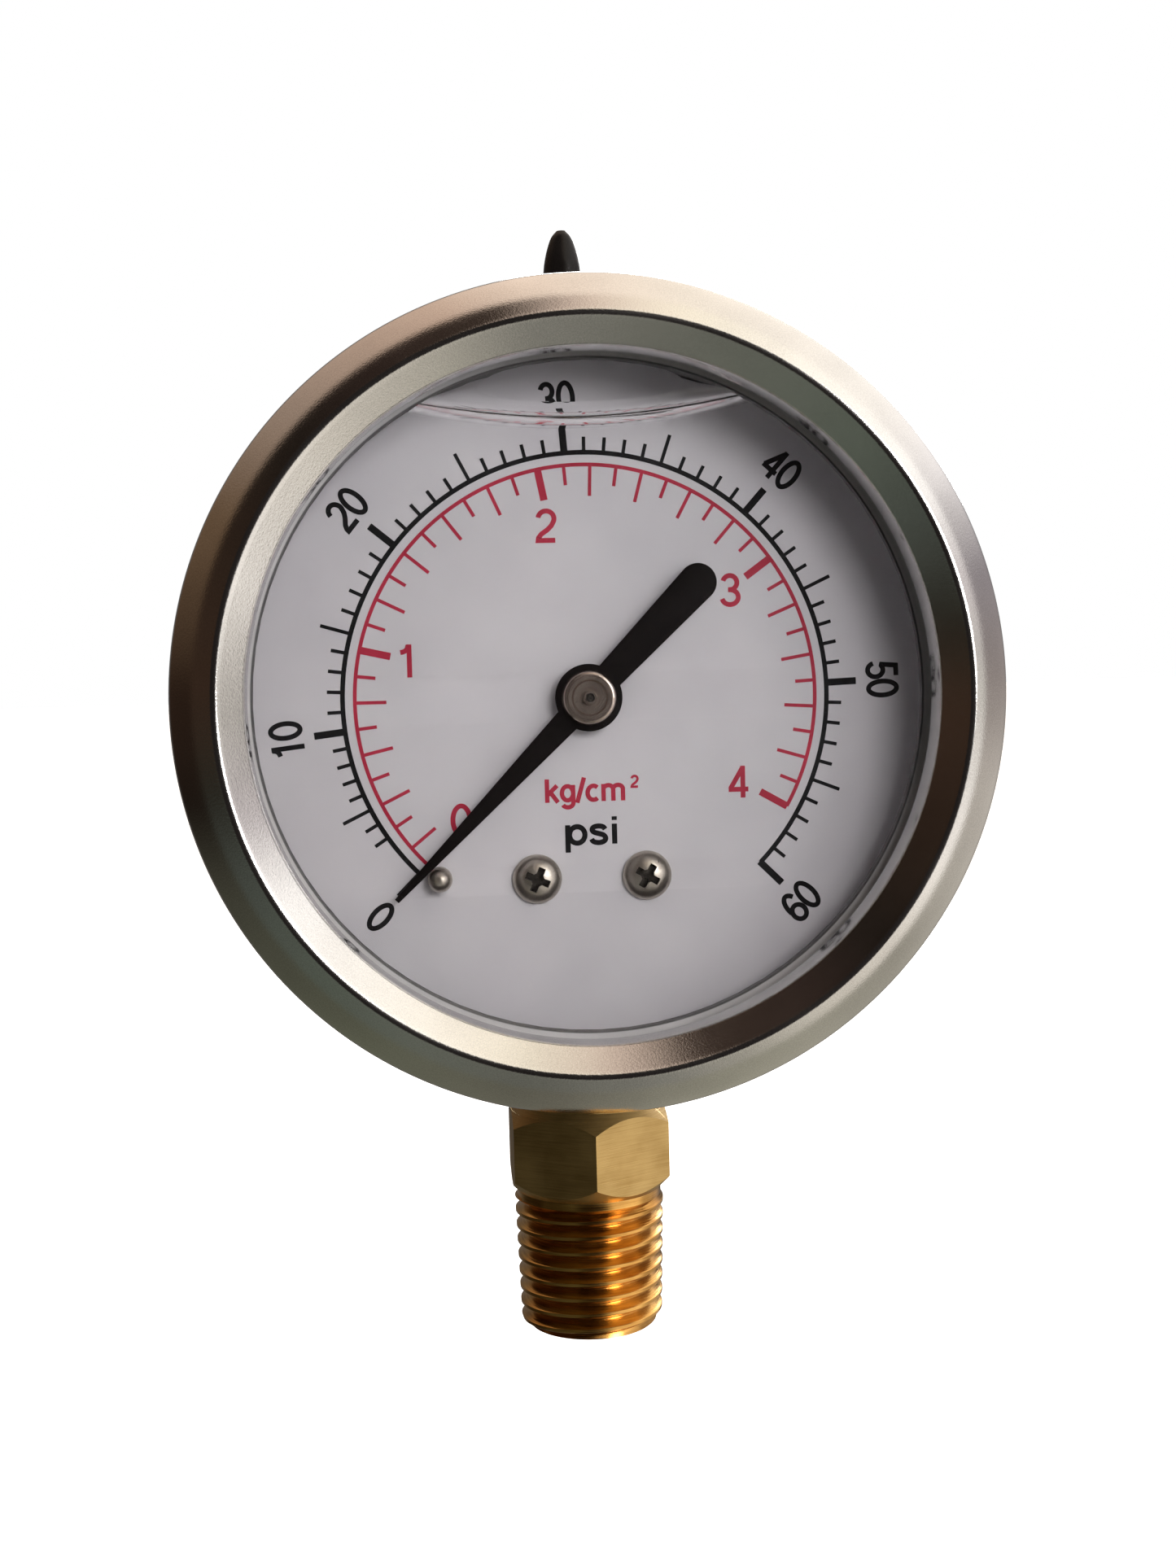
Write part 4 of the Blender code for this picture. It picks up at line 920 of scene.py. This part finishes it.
def written(text, height, centre, weight, widen=1.0, turn=0.0):
    """Strokes of a word, as (centre line, closed, width), centred on a dial plane point and turned
    clockwise."""
    widths = [WIDE.get(c, DIGIT_WIDE) for c in text]
    strokes = []
    start = -sum(widths) / 2
    for c, wide in zip(text, widths):
        for points, closed in CHARACTERS[c]:
            placed = [((start + x) * height * widen, (z - 0.5) * height) for x, z in points]
            placed = [(x + centre[0], z + centre[1]) for x, z in turn_clockwise(placed, turn)]
            strokes.append((placed, closed, weight * height))
        start += wide
    return strokes


def between(stops, value):
    """The angle of a value, where the stops lie one unit apart."""
    whole = min(int(value + 1e-9), len(stops) - 2)
    return stops[whole] + (stops[whole + 1] - stops[whole]) * (value - whole)


def stroke_sides(points, closed, width):
    """The left and right edge of a band drawn along the points."""
    count = len(points)
    edges = []
    for i in range(count):
        here = Vector(points[i])
        back = here - Vector(points[i - 1]) if closed or i else None
        ahead = Vector(points[(i + 1) % count]) - here if closed or i < count - 1 else None
        back, ahead = (back or ahead).normalized(), (ahead or back).normalized()
        along = (back + ahead).normalized()
        side = Vector((-along.y, along.x)) * width / 2 / max(0.5, along.dot(ahead))
        edges.append((here + side, here - side))
    return edges


def make_print(name, strokes, surface):
    """All the print of one colour, as thin solids on the dial. Strokes next to each other differ a
    little in thickness, so that no two faces share a plane where they cross."""
    work = bmesh.new()
    back = DIAL_Y[0] + PRINT_DEPTH
    for number, (points, closed, width) in enumerate(strokes):
        front = DIAL_Y[0] - PRINT_DEPTH - PRINT_STEP * (number % 5)
        loops = []
        for left, right in stroke_sides(points, closed, width):
            corners = ((left, front), (right, front), (right, back), (left, back))
            loops.append([work.verts.new(Vector((p.x, y, AXIS_Z + p.y)) * MM) for p, y in corners])
        join_rings(work, loops, closed)
        if not closed:
            work.faces.new(loops[0])
            work.faces.new(loops[-1])
    finished(from_work(name, work), surface, "gauge_body", None)


def scale(stops, radius, marks, numbers, side):
    """A scale's arc, and its marks to the outside (side 1) or the inside (side -1) of it."""
    width, short, long, long_every, thin, thick, lap = marks
    strokes = [(arc(radius, 90 - TENS[0], 90 - stops[-1], 160), False, width)]
    edge = radius + side * width / 2
    for number in numbers:
        whole = number % 10 == 0
        start = edge - side * (lap if whole else 0.02)
        end = radius + side * (short if number % long_every else long)
        angle = between(stops, number / 10)
        strokes.append(([from_top(start, angle), from_top(end, angle)], False, thick if whole else thin))
    return strokes


def make_scales(finishes):
    black = scale(TENS, BLACK_ARC_R, BLACK_MARKS, [0, *range(3, 61)], 1)
    for tens, angle in enumerate(TENS):
        turn = angle + 180 if tens == 6 else angle
        at = from_top(NUMERAL_R, angle)
        black += written(str(tens * 10), NUMERAL_HEIGHT, at, NUMERAL_WEIGHT, turn=turn)
    black += written("psi", 2.35, (0.07, -11.35), 0.19, 1.48)
    make_print("print_black", black, finishes["print_black"])

    red = scale(RED_UNITS, RED_ARC_R, RED_MARKS, range(2, 41), -1)
    for text, at in RED_NUMERALS.items():
        red += written(text, NUMERAL_HEIGHT, at, NUMERAL_WEIGHT, RED_WIDEN)
    red += written("kg/cm", 2.0, (-0.4, -7.85), 0.19, 1.26)
    red += written("2", 1.05, (3.85, -7.25), 0.2, RED_WIDEN)
    make_print("print_red", red, finishes["print_red"])


def pointer_outline():
    """The pointer as if it pointed up: disc, tapered needle, and tail with a round end."""
    disc_high = math.sqrt(POINTER_DISC_R**2 - NEEDLE_ROOT_HALF**2)
    disc_low = math.sqrt(POINTER_DISC_R**2 - TAIL_ROOT_HALF**2)
    right = [(NEEDLE_TIP_HALF, NEEDLE_LENGTH), (NEEDLE_ROOT_HALF, disc_high)]
    start = math.degrees(math.atan2(disc_high, NEEDLE_ROOT_HALF))
    end = math.degrees(math.atan2(-disc_low, TAIL_ROOT_HALF))
    right += arc(POINTER_DISC_R, start, end, 28)[1:]
    right += arc(TAIL_END_R, 0, -86, 18, (0, TAIL_END_R - TAIL_LENGTH))
    left = [(-x, z) for x, z in reversed(right)]
    return right + [(0, -TAIL_LENGTH)] + left


def make_pointer(finishes):
    outline = turn_clockwise(pointer_outline(), ZERO_ANGLE)
    plate = flat("pointer_plate", [outline, circle(1.5)], POINTER_Y, 0.05)
    finished(plate, finishes["pointer_paint"], "pointer_shaft", "pointer_paint", "pointer", sharp=50.0)
    front, back = POINTER_Y
    head, nose = front - PRESS_GAP / 2, front - 1.2
    floor = nose - 0.14
    profile = [(0, floor), (0.32, floor), (0.36, nose - 0.3), (0.4, nose - 0.34), (0.54, nose - 0.34)]
    profile += [(0.6, nose - 0.28), (0.64, nose + 0.08), (0.82, nose + 0.08), (0.86, nose), (1.4, nose)]
    profile += [(1.46, nose + 0.06), (1.52, nose), (1.82, nose), (1.88, nose + 0.12)]
    profile += [(2.0, nose + 0.12), (2.12, nose + 0.16), (2.2, nose + 0.26), (2.3, head - 0.4)]
    profile += [(2.35, head - 0.25), (2.35, head), (1.42, head), (1.42, back + 0.05)]
    profile += [(1.9, back + 0.05), (1.9, back + 0.5), (0.56, back + 0.5), (0.56, nose + 0.12)]
    profile += [(0.38, floor + 0.025), (0, floor + 0.025)]
    hub = turned_y("pointer_boss", profile)
    finished(hub, finishes["hub_metal"], "pointer_shaft", "plated_screws", "pointer_hub", sharp=25.0)
    # Painted shade in the hub's centre hole.
    paint_shade_near_axis(hub, finishes["recess_painted_shade"], (0, AXIS_Z), 0.36, (nose - 0.32, floor + 0.01))


def make_dial_screws(finishes):
    face = DIAL_Y[0] - PRESS_GAP / 2
    top = face - SCREW_HEAD_H
    dome = [(0, top), (0.6, top + 0.03), (1.2, top + 0.14), (1.7, top + 0.36), (2.0, top + 0.68)]
    dome += [(SCREW_HEAD_R, top + 0.92), (SCREW_HEAD_R, face), (SCREW_SHANK_R, face)]
    dome += [(SCREW_SHANK_R, DIAL_SCREW_END_Y), (0, DIAL_SCREW_END_Y)]
    reach, half = CROSS_HALF
    centre_r, centre_depth = CROSS_CENTRE
    for side, name in ((-1, "dial_screw_left"), (1, "dial_screw_right")):
        x, z = side * DIAL_SCREW_X, AXIS_Z + DIAL_SCREW_Z
        screw = turned_y(name + "_head", dome, x, z, 72)
        for quarter in (0, 90):
            turn = Matrix.Rotation(math.radians(SCREW_TURN[name] + quarter), 4, "Y")
            place = Matrix.Translation(Vector((x, 0, z)) * MM) @ turn
            corners = (-reach, top - 1, -half), (reach, top + CROSS_DEPTH, half)
            combine(screw, box("cross", *corners, place))
        combine(screw, disc_y("cross_centre", centre_r, (top - 1, top + centre_depth), x, z, 24))
        finished(screw, finishes["plated_screws"], "gauge_body", "plated_screws", name)
        # Painted shade in the cross slot of the screw.
        paint_shade_near_axis(screw, finishes["recess_painted_shade"], (x, z), 1.2, (top + 0.25, face))


def make_stop_pin(surface):
    face = DIAL_Y[0] - PRESS_GAP / 2
    tip = POINTER_Y[0] - 0.4
    nose = [(0, tip), (0.45, tip + 0.08), (0.8, tip + 0.32), (1.0, tip + 0.65)]
    profile = nose + [(STOP_PIN_R, tip + 0.95), (STOP_PIN_R, face)]
    profile += [(0.5, face), (0.5, DIAL_Y[1] + 0.3), (0, DIAL_Y[1] + 0.3)]
    x, z = from_top(STOP_R, STOP_ANGLE)
    made = turned_y("stop_peg", profile, x, AXIS_Z + z, 48)
    finished(made, surface, "gauge_body", "plated_screws", "stop_pin")


# ---- Bourdon tube ----------------------------------------------------------------------------
def make_tube(surface):
    """Flattened C-shaped tube, curved round from the socket to its own end."""
    way = arc(1.0, TUBE_START, TUBE_END, 96)

    def section(shrink):
        thick, wide = TUBE_THICK / 2 - shrink, TUBE_WIDTH / 2 - shrink
        one = [(up, wide - thick + out) for out, up in arc(thick, 90, -90, 10)]
        return one + [(-up, -along) for up, along in one]

    work = bmesh.new()
    skins = []
    for shrink in (0.0, TUBE_WALL):
        loops = []
        for x, z in way:
            out = Vector((x, 0, z))
            at = Vector((0, TUBE_MID_Y, AXIS_Z)) + out * TUBE_R
            spots = [(at + out * up + Vector((0, y, 0))) * MM for up, y in section(shrink)]
            loops.append([work.verts.new(spot) for spot in spots])
        skins.append(loops)
        join_rings(work, loops, False)
    for end in (0, -1):
        join_rings(work, [skins[0][end], skins[1][end]], False)
    made = from_work("bourdon_coil", work)
    made.data.shade_smooth()
    made.data.set_sharp_from_angle(angle=math.radians(40))
    made.data.materials.append(surface)
    end = polar(TUBE_R, TUBE_END)
    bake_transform(made)
    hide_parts("bourdon_tube")


# ---- stage -----------------------------------------------------------------------------------
def make_camera():
    data = bpy.data.cameras.new("camera")
    data.sensor_fit = "VERTICAL"
    data.sensor_height = CAMERA_FILM
    data.lens = CAMERA_LENS
    data.clip_start, data.clip_end = 0.01, 20.0
    camera = new_object("camera", data)
    turn = Matrix((CAMERA_RIGHT, CAMERA_UP, CAMERA_BACK)).transposed().to_4x4()
    camera.matrix_world = Matrix.Translation(Vector(CAMERA_AT) * MM) @ turn
    bpy.context.scene.camera = camera


def make_floor():
    work = bmesh.new()
    bmesh.ops.create_grid(work, x_segments=1, y_segments=1, size=6.0)
    floor = from_work("floor", work, Matrix.Translation((0, 0, FLOOR_Z * MM)))
    made = Surface("floor")
    tint = made.ramp(made.noise(0.01, 2.0), (0.3, (0.93, 0.93, 0.93)), (0.7, (0.95, 0.95, 0.95)))
    made.set(Base_Color=tint, Roughness=0.9)
    made.set(Emission_Color=(1.0, 1.0, 1.0), Emission_Strength=0.55)
    floor.data.materials.append(made.material)
    floor.visible_glossy = False
    floor.visible_transmission = False


def make_area_light(name, at, size, power, colour, diffuse=True, mirrored=True):
    data = bpy.data.lights.new(name, "AREA")
    data.shape = "DISK"
    data.size = size * MM
    data.energy = power
    data.color = colour
    light = new_object(name, data)
    light.location = Vector(at) * MM
    light.rotation_mode = "QUATERNION"
    aim = Vector((0, -7, AXIS_Z)) * MM
    light.rotation_quaternion = (aim - light.location).to_track_quat("-Z", "Y")
    light.visible_diffuse = diffuse
    light.visible_glossy = mirrored
    light.visible_transmission = mirrored


def make_world():
    """Soft surroundings, bright at the upper right, and plain white where the camera looks."""
    world = bpy.data.worlds.new("studio")
    bpy.context.scene.world = world
    world.use_nodes = True
    world.node_tree.nodes.clear()
    made = NodeTree(world.node_tree)
    way = made.parts(made.add("ShaderNodeTexCoord").outputs["Generated"])
    clock = made.math("ARCTAN2", made.math("MULTIPLY", way["Z"], -1.0), way["X"])
    turn = made.math("FRACT", made.math("DIVIDE", clock, math.tau))

    def share(from_to):
        """Rises from 0 to 1 as a direction's Y goes from one value to the other."""
        return made.span(way["Y"], from_to, interpolation_type="SMOOTHSTEP")

    ahead = made.ramp(turn, *[(angle / 360, colour) for angle, colour in AHEAD])
    beside = made.ramp(turn, *[(angle / 360, colour) for angle, colour in BESIDE])
    around = made.mixed(share(BESIDE_FROM_TO), ahead, beside)
    around = made.mixed(share(BEHIND_FROM_TO), around, BEHIND)
    lit = made.mixed(share(AHEAD_FROM_TO), STRAIGHT_AHEAD, around)
    is_camera = made.add("ShaderNodeLightPath").outputs["Is Camera Ray"]
    background = made.add("ShaderNodeBackground")
    made.give(background.inputs["Color"], made.mixed(is_camera, lit, (1.0, 1.0, 1.0)))
    made.link(background.outputs[0], made.add("ShaderNodeOutputWorld").inputs["Surface"])


def make_stage():
    make_camera()
    make_floor()
    make_world()
    make_area_light("key", (92, -400, 152), 130, 0.57, (1.0, 0.97, 0.97), mirrored=False)
    make_area_light("gleam", (290, -400, 150), 190, 0.95, (1.0, 0.97, 0.97), diffuse=False)
    make_area_light("fill", (-320, -420, 220), 300, 0.22, (0.96, 0.98, 1.0), mirrored=False)
    make_area_light("back_fill", (150, 420, 260), 300, 1.6, (1.0, 1.0, 1.0))
    bpy.context.scene.view_settings.view_transform = "Standard"


# ---- the whole gauge -------------------------------------------------------------------------
def main():
    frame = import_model()
    finishes = make_finishes()
    for subpart in frame["record"]["subparts"]:
        for slot in frame["nodes"][subpart["node"]].material_slots:
            slot.material = finishes[subpart["material_slot"]]
    make_bezel(finishes["bezel_steel"])
    make_case(finishes)
    make_window(finishes["window_glass"])
    make_liquid(finishes["liquid"])
    make_filling_plug(finishes["plug_rubber"])
    make_socket(finishes["socket_brass"])
    make_dial(finishes["dial_paint"])
    make_scales(finishes)
    make_pointer(finishes)
    make_dial_screws(finishes)
    make_stop_pin(finishes["plated_screws"])
    make_tube(finishes["tube_bronze"])
    make_stage()


main()
